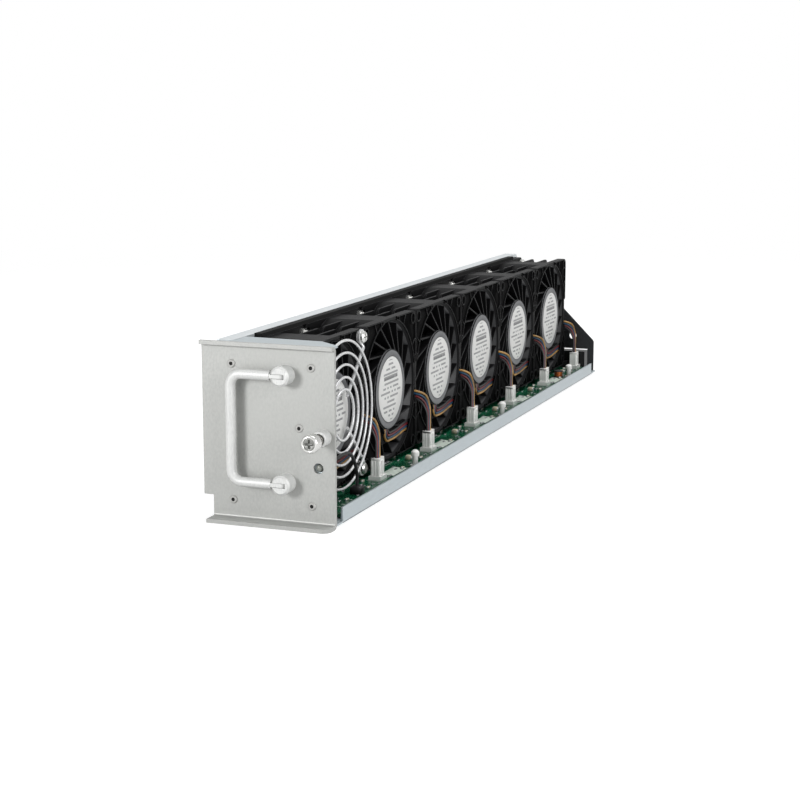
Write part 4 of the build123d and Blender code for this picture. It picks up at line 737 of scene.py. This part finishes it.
def makeKnob():
    # The captive screw: rings of points round Y, each ring a radius and a depth that may vary with the
    # angle. The recess follows the plus sign, the grip swells where two sets of slanting waves cross, and
    # the thread's radius is a wave along Y that climbs one pitch for each turn. The small bare numbers
    # round the edges between them off.
    low, high = spot("captive_screw")
    x, z = (low[0] + high[0]) / 2, (low[2] + high[2]) / 2
    radius = (high[0] - low[0]) / 2
    front, back = low[1], high[1]
    rear = front + knob["length"]
    angle = np.linspace(0, 2 * np.pi, knob["ridges"] * 8, endpoint=False)

    def ringed(rings):
        # Stacks (radius, depth) rings into a grid of points.
        r, y = [np.stack([np.broadcast_to(ring[i], angle.shape) for ring in rings], 1) for i in (0, 1)]
        return np.stack([x + r * np.sin(angle)[:, None], y, z + r * np.cos(angle)[:, None]], -1)

    long, wide, deep = knob["recess"]
    cross = crossOutline(angle, long, wide)
    dish, sunk = knob["dish"], knob["dishDepth"]
    inner = [(0.0, front + deep), (cross * 0.94, front + deep), (cross, front + sunk + 0.08)]
    inner += [(cross + 0.08, front + sunk), (cross * 0.3 + dish * 0.7, front + sunk * 0.95)]
    inner += [(dish, front + sunk * 0.8), (dish, front + deep + 0.4), (0.0, front + deep + 0.4)]
    # The dish wears the darker finish: painted shade in the recess.
    face = buildPiece("knobDish", [ringed(inner)], made["paintedShadeKnobDish"], "screw")
    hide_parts("captive_screw")
    outer = [(0.0, front + deep + 0.2), (dish - 0.1, front + deep + 0.2), (dish - 0.02, front + sunk * 0.7)]
    outer += [(dish + 0.22, front + 0.06), (dish + 0.4, front), (radius - 0.62, front + 0.08)]
    outer.append((radius - 0.1, front + 0.8))
    start, stop = front + knob["grip"][0], front + knob["grip"][1]
    half = knob["ridges"] / 2
    for along in np.linspace(0, 1, knob["columns"]):
        twist = (stop - start) / radius * along
        waves = np.abs(np.sin(half * (angle + twist)) * np.sin(half * (angle - twist)))
        fade = min(1, min(along, 1 - along) * 8)
        outer.append((radius + 0.02 + knob["proud"] * waves * fade, start + (stop - start) * along))
    thread, groove, pitch, reach = knob["thread"]
    neck = knob["neck"]
    outer += [(radius - 0.1, rear - 0.8), (radius - 0.7, rear - 0.1), (radius - 1.0, rear)]
    outer += [(neck, rear), (neck, back - reach - 0.3), (thread - groove, back - reach)]
    for y in np.arange(back - reach + 0.1, back - 0.5, pitch / 6):
        outer.append((thread - groove / 2 + groove / 2 * np.cos(2 * np.pi * y / pitch - angle), y))
    outer += [(thread - 0.5, back - 0.02), (0.0, back)]
    body = buildPiece("knobBody", [ringed(outer)], made["nickelPlatedSteel"], "screw")
    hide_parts("captive_screw")
    print("knob made")


makeKnob()

spring = {
    "radius": 2.4,
    "wire": 0.25,
    "turns": 6.5,
    "closer": 0.06,  # how much the end coils close up, as a share of the length
    "stroke": 4.0,
    "steps": 209,
    "around": 10,
}


def makeSpring():
    # A wire carried along a helix round Y. Its rise is the share of the way less a small sine, which brings
    # the end coils closer together.
    low, high = spot("captive_spring")
    x, z = (low[0] + high[0]) / 2, (low[2] + high[2]) / 2
    wire, length = spring["wire"], high[1] - low[1]
    share = np.linspace(0, 1, spring["steps"])
    turn = 2 * np.pi * spring["turns"] * share
    rise = share - spring["closer"] * np.sin(2 * np.pi * share)
    outward = np.column_stack([np.sin(turn), np.zeros_like(turn), np.cos(turn)])
    middle = spring["radius"] * outward + np.outer(wire + (length - 2 * wire) * rise, (0, 1, 0))
    along = np.gradient(middle, axis=0)
    along /= np.linalg.norm(along, axis=1)[:, None]
    side = np.cross(along, outward)
    around = np.linspace(0, 2 * np.pi, spring["around"], endpoint=False)[:, None, None]
    points = middle[None] + wire * (np.cos(around) * outward[None] + np.sin(around) * side[None])
    grid = closeEnds(points) + np.array([x, low[1], z])
    piece = buildPiece("captiveCoil", [grid], made["springSteelWire"], "tray")
    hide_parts("captive_spring")
    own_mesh(piece)
    print("spring made")


makeSpring()

lens = {
    "radius": 1.75,
    "dome": 1.1,
    "setBack": 0.35,
    "flange": (3.2, 1.2),  # radius and thickness
    "rear": 2.4,
    "length": 6.0,
    "around": 40,
}


def makeLens():
    # The status lamp, turned about Y: a domed lens whose depth is a quarter circle of its radius, then its
    # flange behind the bulkhead and its body.
    low, high = spot("status_lamp")
    x, z = (low[0] + high[0]) / 2, (low[2] + high[2]) / 2
    top, back = panelFace + lens["setBack"], high[1]
    flangeAt, (wide, thick) = back - lens["length"], lens["flange"]
    turn = np.linspace(0, np.pi / 2, 8)
    profile = [(top + lens["dome"] * (1 - math.cos(t)), lens["radius"] * math.sin(t)) for t in turn]
    profile += [(flangeAt, lens["radius"]), (flangeAt, wide), (flangeAt + thick, wide)]
    profile += [(flangeAt + thick, lens["rear"]), (back, lens["rear"]), (back, 0.0)]
    grid = turned(profile, "Y", (x, 0, z), lens["around"])
    piece = buildPiece("lampLens", [grid], made["clearPolycarbonate"], "tray")
    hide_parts("status_lamp")
    print("lens made")


makeLens()

rivetEnds = {
    "face": 0.7,  # how far the heads stand off the panel
    "hole": 0.7,
    "rim": 1.0,
    "depth": 0.6,
    "back": 0.4,
    "proud": 0.03,
    "around": 24,
    "places": ((-19.4, 11.0), (-19.4, 79.8), (23.4, 11.0), (23.4, 79.8), (16.9, 49.6)),
}


def makeRivetEnds():
    # The pit of each blind rivet, turned about Y and painted near black as shade: a rim round the hole, and a
    # cone down to the broken end of the mandrel.
    front = panelFace - rivetEnds["face"] - rivetEnds["proud"]
    hole, rim, pit = rivetEnds["hole"], rivetEnds["rim"], front + rivetEnds["depth"]
    profile = [(pit - 0.1, 0.0), (pit, hole), (front + 0.02, hole + 0.03), (front, rim - 0.06)]
    profile += [(front + 0.05, rim), (pit + rivetEnds["back"], rim * 0.6), (pit + rivetEnds["back"], 0.0)]
    grids = [turned(profile, "Y", (x, 0, z), rivetEnds["around"]) for x, z in rivetEnds["places"]]
    piece = buildPiece("rivetHoleShade", grids, made["paintedShadeRivetHole"], "tray")
    print("rivet ends made")


makeRivetEnds()

# Places on the board are an X, and a Y from the centre of each fan.
tracks = {
    "height": 0.035,
    "busLines": (28.3, 29.3, 30.3, 31.6),  # X of the long tracks beside the rail
    "busShort": (3.0, 9.0),  # how far they end from the board's front and rear
    "busWidth": 0.5,
    "signalWidth": 0.42,
    "powerWidth": 0.588,
    "plug": (20.8, 43.6),
    "chip": (8.5, 0.0),
    "capacitor": (19.2, 15.0),
    "signals": 5,
    "lane": (13.2, 0.95),  # X of the first lane between chip and plug, and the step to the next
    "chipPad": (3.6, -3.0, 1.3),  # X and first Y from the chip, and the step
    "plugPad": (3.4, 3.2, -1.9, 1.27),  # X to the left and right of the plug, first Y, and the step
    "capacitorPad": (2.6, -6.0, 2.6),
    "chipTurn": 1.2,
    "plugTurn": 1.6,
    "busTurn": 0.9,
    "busEnd": 3.0,
    "powerTurn": (1.4, 0.3),
}


def makeTracks():
    # Tracks from each chip to its plug in runs and 45 degree turns, and long buses beside the rail.
    height, signal = tracks["height"], tracks["signalWidth"]
    plugX, plugY = tracks["plug"]
    chipX, capX, capY = tracks["chip"][0], *tracks["capacitor"]
    lane0, laneStep = tracks["lane"]
    padX, padY, padStep = tracks["chipPad"]
    plugLeft, plugRight, plugPadY, plugStep = tracks["plugPad"]
    capPadX, capPadY, capStep = tracks["capacitorPad"]
    chipTurn, plugTurn, busTurn = tracks["chipTurn"], tracks["plugTurn"], tracks["busTurn"]
    powerFrom, powerTo = tracks["powerTurn"]
    front, rear = boardLow[1] + tracks["busShort"][0], boardHigh[1] - tracks["busShort"][1]
    runs = [([(x, front), (x, rear)], tracks["busWidth"]) for x in tracks["busLines"]]
    for y, _ in fanCentres:
        for i in range(tracks["signals"]):
            lane, start = lane0 + laneStep * i, y + padY + padStep * i
            end = y + plugY + plugPadY + plugStep * i
            path = [(chipX + padX, start), (lane - chipTurn, start), (lane, start + chipTurn)]
            path += [(lane, end - plugTurn), (lane + plugTurn, end), (plugX - plugLeft, end)]
            runs.append((path, signal))
        for i, busX in enumerate(tracks["busLines"][:3]):
            end = y + plugY + plugPadY + 2 * plugStep * i
            path = [(plugX + plugRight, end), (busX - busTurn, end), (busX, end - busTurn)]
            runs.append((path + [(busX, end - tracks["busEnd"])], signal))
            low = y + capY + capPadY + capStep * i
            path = [(capX + capPadX, low), (busX - powerFrom, low)]
            path.append((busX - powerTo, low + powerFrom - powerTo))
            runs.append((path, tracks["powerWidth"]))
    grids = [ribbonAlong(path, width, height, boardTop) for path, width in runs]
    piece = buildPiece("boardTracks", grids, made["maskedTrack"], "tray")
    print("tracks made:", len(grids))


makeTracks()

ink = {
    "height": 0.05,
    "field": (18.0, 26.2, 53.6, 74.4),  # X from and to, Y from and to
    "fieldSoft": (0.4, 0.02),  # corner radius and bevel, here and below
    "outlines": ((*tracks["plug"], 8.4, 11.6), (*tracks["chip"], 9.0, 10.6)),  # place, width and depth
    "line": 0.28,
    "tick": (24.6, 26.6, 0.7),  # X from and to, and width
    "tickRow": (-22.0, 5.2, 4),  # first Y, step and number
}


def makeInk():
    # Screen printed fields beside the plugs, outlines round the plugs and chips, and small plain ticks.
    x0, x1, y0, y1 = ink["field"]
    tickFrom, tickTo, tickWide = ink["tick"]
    first, step, count = ink["tickRow"]
    high = ink["height"]
    grids = []
    for number, (y, _) in enumerate(fanCentres):
        if number + 1 < len(fanCentres):  # the last fan has no room for a field
            place = ((x0 + x1) / 2, y + (y0 + y1) / 2, boardTop)
            grids.append(roundedBox(place, (x1 - x0, y1 - y0, high), *ink["fieldSoft"]))
        for cx, cy, wide, deep in ink["outlines"]:
            left, right, near, far = cx - wide / 2, cx + wide / 2, y + cy - deep / 2, y + cy + deep / 2
            sides = [[(left, near), (left, far)], [(right, near), (right, far)]]
            sides += [[(left, near), (right, near)], [(left, far), (right, far)]]
            grids += [ribbonAlong(side, ink["line"], high, boardTop) for side in sides]
        for i in range(count):
            at = y + first + step * i
            grids.append(ribbonAlong([(tickFrom, at), (tickTo, at)], tickWide, high, boardTop))
    piece = buildPiece("boardInk", grids, made["screenPrintInk"], "tray")
    print("ink made:", len(grids))


makeInk()

smallParts = {
    "chip": (4.6, 9.0, 1.28),
    "chipSoft": (0.15, 0.22),
    "chipLift": 0.12,
    "mark": (-1.5, -3.7, 0.45),  # the dot by the first leg: X and Y from the chip, and radius
    "legs": 7,
    "legPitch": 1.27,
    "legOut": (2.25, 2.6, 2.72, 2.86, 3.0),  # a gull wing, outwards from the chip's middle and up
    "legUp": (0.72, 0.7, 0.4, 0.12, 0.1),
    "leg": (0.42, 0.16),
    "moulded": (2.9, 2.9, 2.45),  # the chip capacitor and its folded ends
    "mouldedSoft": (0.15, 0.2),
    "mouldedLift": 0.1,
    "folded": (0.6, 2.2, 1.9),
    "foldedSoft": (0.1, 0.1),
    "foldedOut": 1.7,
    "resistor": (1.25, 2.0, 0.5),
    "capacitor": (1.6, 3.2, 1.1),
    "body": (0.62, 0.04),  # of a small part: its share of the length, and how far it stands in and up
    "end": (0.22, 0.4, 0.06),  # its metal ends: share of the length, share out from the middle, and rise
    "small": (0.06, 0.05, 1),  # corner radius, bevel and points to a corner
    # X, and Y from the fan's centre, of the small parts; 1 marks the taller ones
    "places": (
        (24.8, -31.0, 0), (24.8, -28.2, 0), (20.4, -33.0, 1), (16.2, -30.0, 0), (16.2, -26.6, 0),
        (21.6, -12.0, 0), (24.4, -9.0, 1), (18.4, -8.0, 0), (25.6, 3.5, 0), (22.8, 6.0, 0),
        (24.6, 20.4, 1), (21.0, 23.0, 0), (18.2, 26.2, 0), (23.4, 29.6, 0), (25.9, 32.6, 0),
        (15.9, 33.4, 1), (14.9, 9.0, 0), (12.8, -14.0, 0), (6.2, 14.0, 0), (8.8, 18.0, 1),
    ),
}


def makeSmallParts():
    # The chips with gull-wing legs, capacitors with folded metal ends, and rows of small ceramic chips.
    bodies, ceramics, metal = [], [], []
    chipX, capX, capY = tracks["chip"][0], *tracks["capacitor"]
    legs, pitch, lift = smallParts["legs"], smallParts["legPitch"], smallParts["chipLift"]
    markX, markY, markRadius = smallParts["mark"]
    mark = [(0.0, 0.0), (0.0, markRadius), (0.03, markRadius - 0.05), (0.03, 0.0)]
    markHigh = boardTop + lift + smallParts["chip"][2] - 0.01
    out, up = np.array(smallParts["legOut"]), np.array(smallParts["legUp"]) + boardTop
    bodyShare, gap = smallParts["body"]
    endShare, endOut, rise = smallParts["end"]
    small = smallParts["small"]
    for y, _ in fanCentres:
        bodies.append(roundedBox((chipX, y, boardTop + lift), smallParts["chip"], *smallParts["chipSoft"]))
        ceramics.append(turned(mark, "Z", (chipX + markX, y + markY, markHigh), 12))
        for i in range(legs):
            at = np.full(len(out), y + (i - (legs - 1) / 2) * pitch)
            for side in (-1, 1):
                path = np.column_stack([out * side + chipX, at, up])
                metal.append(stripAlong(path, (0, 1, 0), *smallParts["leg"]))
        at = (capX, y + capY, boardTop + smallParts["mouldedLift"])
        ceramics.append(roundedBox(at, smallParts["moulded"], *smallParts["mouldedSoft"]))
        for side in (-1, 1):
            at = (capX + side * smallParts["foldedOut"], y + capY, boardTop)
            metal.append(roundedBox(at, smallParts["folded"], *smallParts["foldedSoft"]))
        for x, dy, tall in smallParts["places"]:
            wide, deep, high = smallParts["capacitor" if tall else "resistor"]
            body = roundedBox((x, y + dy, boardTop + gap), (wide - gap, deep * bodyShare, high), *small)
            (ceramics if tall else bodies).append(body)
            for side in (-1, 1):
                at = (x, y + dy + side * deep * endOut, boardTop)
                metal.append(roundedBox(at, (wide, deep * endShare, high + rise), *small))
    piece = buildPiece("chipBodies", bodies, made["epoxyMoulding"], "tray")
    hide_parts("board_parts")
    piece = buildPiece("ceramicChips", ceramics, made["firedCeramic"], "tray")
    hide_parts("board_parts")
    piece = buildPiece("solderedEnds", metal, made["tinnedSolder"], "tray")
    print("small parts made:", len(bodies) + len(ceramics) + len(metal))


makeSmallParts()

choke = {
    "place": (21.7, -3.0),  # beside the last fan
    "radius": 3.4,
    "height": 5.0,
    "flange": 0.8,
    "soft": 0.15,
    "wire": 0.42,
    "sunk": 0.5,  # how far the winding lies inside the flanges' rim
    "swell": 0.12,
    "around": 40,
}


def makeChoke():
    # A drum choke: two ferrite flanges, and between them a winding whose radius ripples with each turn.
    radius, height, flange, soft = choke["radius"], choke["height"], choke["flange"], choke["soft"]
    at = (choke["place"][0], fanCentres[-1][0] + choke["place"][1], boardTop)
    lower = [(0, 0), (0, radius - soft), (soft, radius), (flange - soft, radius)]
    lower += [(flange, radius - soft), (flange, 0)]
    upper = [(height - flange + z, r) for z, r in lower]
    grids = [turned(profile, "Z", at, choke["around"]) for profile in (lower, upper)]
    drum = buildPiece("chokeDrum", grids, made["sinteredFerrite"], "tray")
    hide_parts("board_parts")
    z = np.linspace(flange - 0.02, height - flange + 0.02, 49)
    ripple = radius - choke["sunk"] + choke["swell"] * np.abs(np.sin(np.pi * (z - flange) / choke["wire"]))
    profile = [(z[0], 0.0), *zip(z.tolist(), ripple.tolist()), (z[-1], 0.0)]
    grid = turned(profile, "Z", at, choke["around"])
    winding = buildPiece("chokeWinding", [grid], made["enamelledCopper"], "tray")
    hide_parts("board_parts")
    print("choke made")


makeChoke()

lampSocket = {
    "place": (23.6, 7.4),  # beside the first fan
    "size": (6.0, 6.5, 4.4),
    "soft": (0.3, 0.2),
    "step": 0.4,
    "latch": (3.6, 0.9, 0.5),
    "latchSoft": (0.2, 0.1),
    "latchBack": 1.95,
}


def makeLampSocket():
    # The header of the lamp's cable: a black housing with a raised latch bar.
    x, y = lampSocket["place"][0], fanCentres[0][0] + lampSocket["place"][1]
    wide, deep, high = lampSocket["size"]
    latch = lampSocket["latch"]
    housing = (wide, deep, high - lampSocket["step"])
    grids = [roundedBox((x, y, boardTop), housing, *lampSocket["soft"])]
    place = (x, y - lampSocket["latchBack"], boardTop + high - latch[2])
    grids.append(roundedBox(place, latch, *lampSocket["latchSoft"]))
    piece = buildPiece("lampSocket", grids, made["connectorNylon"], "tray")
    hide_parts("board_parts")
    print("lamp socket made")


makeLampSocket()

plugRibs = {
    "size": (4.8, 7.6),
    "bottom": 7.0,
    "top": 15.4,
    "rib": (0.24, 0.55),  # thickness, half of it sunk into the plug, and width
    "ribSoft": (0.08, 0.08),
    "count": (4, 3),  # on a broad and on a narrow side
    "cheek": (0.85, 1.3),  # thickness and height of the two walls that stand beside the leads
    "cheekSoft": (0.15, 0.12),
    "sunk": 0.3,
}


def makePlugRibs():
    # Upright ribs on the broad and narrow sides of each white plug, and its two cheeks beside the leads.
    x, dy = tracks["plug"]
    wide, deep = plugRibs["size"]
    bottom, top, sunk = plugRibs["bottom"], plugRibs["top"], plugRibs["sunk"]
    ribThick, ribWide = plugRibs["rib"]
    broad, narrow = plugRibs["count"]
    thick, high = plugRibs["cheek"]
    grids = []
    for y, _ in fanCentres:
        for side in (-1, 1):
            for i in range(broad):
                at = (x + side * wide / 2, y + dy + (i - (broad - 1) / 2) * deep / broad, bottom)
                grids.append(roundedBox(at, (ribThick, ribWide, top - bottom), *plugRibs["ribSoft"]))
            for i in range(narrow):
                at = (x + (i - (narrow - 1) / 2) * wide / narrow, y + dy + side * deep / 2, bottom)
                grids.append(roundedBox(at, (ribWide, ribThick, top - bottom), *plugRibs["ribSoft"]))
            at = (x, y + dy + side * (deep - thick) / 2, top - sunk)
            grids.append(roundedBox(at, (wide, thick, high + sunk), *plugRibs["cheekSoft"]))
    piece = buildPiece("plugRibs", grids, made["whiteNylon"], "tray")
    print("plug ribs made:", len(grids))


makePlugRibs()

corners = {
    "bore": 38.95,  # where the mouth's bevel meets the face
    "half": 40.0,
    "round": 4.0,
    "hole": 35.75,
    "collar": 3.0,
    "reach": (14.0, 76.0),  # a corner's angles in degrees, from the fan's axis across
    "spokes": (20.0, 31.0, 59.0, 70.0),
    "rib": (0.75, 0.75),  # width and height
    "pocket": (-0.01, 0.05),  # lowest and highest level of the pocket's floor
    "inset": 0.1,
    "steps": (41, 21),  # along a corner and round a collar
}


def makeCorners():
    # The webbed corners of each housing: a pocket floor painted dark as shade, between the bore and the
    # rounded outline, an arc along the bore, a border, a collar round the hole and spokes. Angles run from
    # one side to the next.
    bore, half, bend, inset = corners["bore"], corners["half"], corners["round"], corners["inset"]
    wide, high = corners["rib"]
    first, last = (math.radians(v) for v in corners["reach"])
    angle = np.linspace(first, last, corners["steps"][0])

    def outline(turn, inset):
        # Distance to the square's side, or to its rounded corner, for each angle.
        flat, middle = half - inset, half - bend
        side = flat / np.maximum(np.cos(turn), np.sin(turn))
        along = middle * (np.cos(turn) + np.sin(turn))
        rounded = along + np.sqrt(np.maximum(0, along**2 - 2 * middle**2 + (bend - inset) ** 2))
        inCorner = np.minimum(side * np.cos(turn), side * np.sin(turn)) > middle
        return np.where(inCorner, rounded, side)

    def arc(radius, turn=angle):
        return np.column_stack([radius * np.cos(turn), radius * np.sin(turn)])

    around = np.linspace(0, 2 * np.pi, corners["steps"][1])
    collar = corners["hole"] + arc(corners["collar"], around)
    paths = [arc(bore + wide / 2), arc(outline(angle, wide / 2)), collar]
    for turn in np.radians(corners["spokes"]):
        paths.append(arc(np.array([bore + wide, outline(turn, wide)]), turn))
    lattice = [ribbonAlong(path, wide, high) for path in paths]
    inner, outer = arc(bore + inset), arc(outline(angle, inset))
    low, top = corners["pocket"]
    rows = [(inner, low), (inner, top), (outer, top), (outer, low)]
    pocket = closeEnds(np.stack([np.column_stack([flat, np.full(len(flat), level)]) for flat, level in rows]))

    def onFaces(part):
        # From the plane to each housing's face, mirrored into its four corners.
        return [
            np.stack([housingFace + part[..., 2], y + signY * part[..., 0], z + signZ * part[..., 1]], -1)
            for y, z in fanCentres for signY in (-1, 1) for signZ in (-1, 1)
        ]

    ribs = [grid for part in lattice for grid in onFaces(part)]
    piece = buildPiece("cornerRibs", ribs, made["mouldedBlackPolyester"], "tray")
    # A thin sheet at the face, painted near black for the shade in each pocket.
    piece = buildPiece("cornerPocketShade", onFaces(pocket), made["paintedShadePocket"], "tray")
    print("corners made:", len(ribs))


makeCorners()

bore = {"radius": (37.84, 38.0), "start": -22.0, "inset": 1.05, "around": 96}


def makeBores():
    # A smooth lining of each housing's bore, turned about X: a thin sleeve that ends at the mouth's bevel,
    # coloured paler as painted light.
    inner, outer = bore["radius"]
    start, end = bore["start"], housingFace - bore["inset"]
    profile = [(start, outer), (start, inner), (end, inner), (end, outer), (start, outer)]
    grids = [turned(profile, "X", (0, y, z), bore["around"]) for y, z in fanCentres]
    piece = buildPiece("boreLightLinings", grids, made["paintedLightBore"], "tray")
    print("bores made")


makeBores()

railShadowStrip = {"high": 0.45, "thick": 0.2, "soft": (0.05, 0.04), "proud": 0.01, "front": 9.4, "rear": 12.2}


def makeRailShadowStrip():
    # A painted shadow line along the bottom of the rail: a thin dark strip on its outer side.
    low, high = spot("base_tray")
    start, end = panelFace + railShadowStrip["front"], high[1] - railShadowStrip["rear"]
    place = (high[0] - railShadowStrip["thick"] / 2 + railShadowStrip["proud"], (start + end) / 2, low[2] + railShadowStrip["proud"])
    grid = roundedBox(place, (railShadowStrip["thick"], end - start, railShadowStrip["high"]), *railShadowStrip["soft"])
    piece = buildPiece("railShadowLine", [grid], made["paintedRailShadow"], "tray")
    print("hem made")


makeRailShadowStrip()

welds = {
    "rings": (13.3, 19.6, 26.1, 32.2, 38.6),
    "struts": (45, 135, 225, 315),
    "x": 18.69,
    "size": (1.9, 1.25, 1.25),
    "around": 12,
    "up": 7,
}


def makeWelds():
    # Where a ring of the finger guard crosses a strut: a small lens of weld metal that joins the two wires,
    # the cosines and sines of a sphere times its half sizes.
    y, z = fanCentres[0]
    u = np.linspace(-np.pi, np.pi, welds["around"], endpoint=False)[:, None]
    v = np.linspace(-np.pi / 2, np.pi / 2, welds["up"])[None, :]
    ball = np.stack([np.cos(v) * np.cos(u), np.cos(v) * np.sin(u), np.sin(v) * np.ones_like(u)], -1)
    blob = ball * np.array(welds["size"]) / 2
    grids = []
    for radius in welds["rings"]:
        for turn in np.radians(welds["struts"]):
            place = (welds["x"], y + radius * math.cos(turn), z + radius * math.sin(turn))
            grids.append(blob + np.array(place))
    piece = buildPiece("guardWelds", grids, made["brightPlatedWire"], "tray")
    print("welds made:", len(grids))


makeWelds()


low, high = cadBox
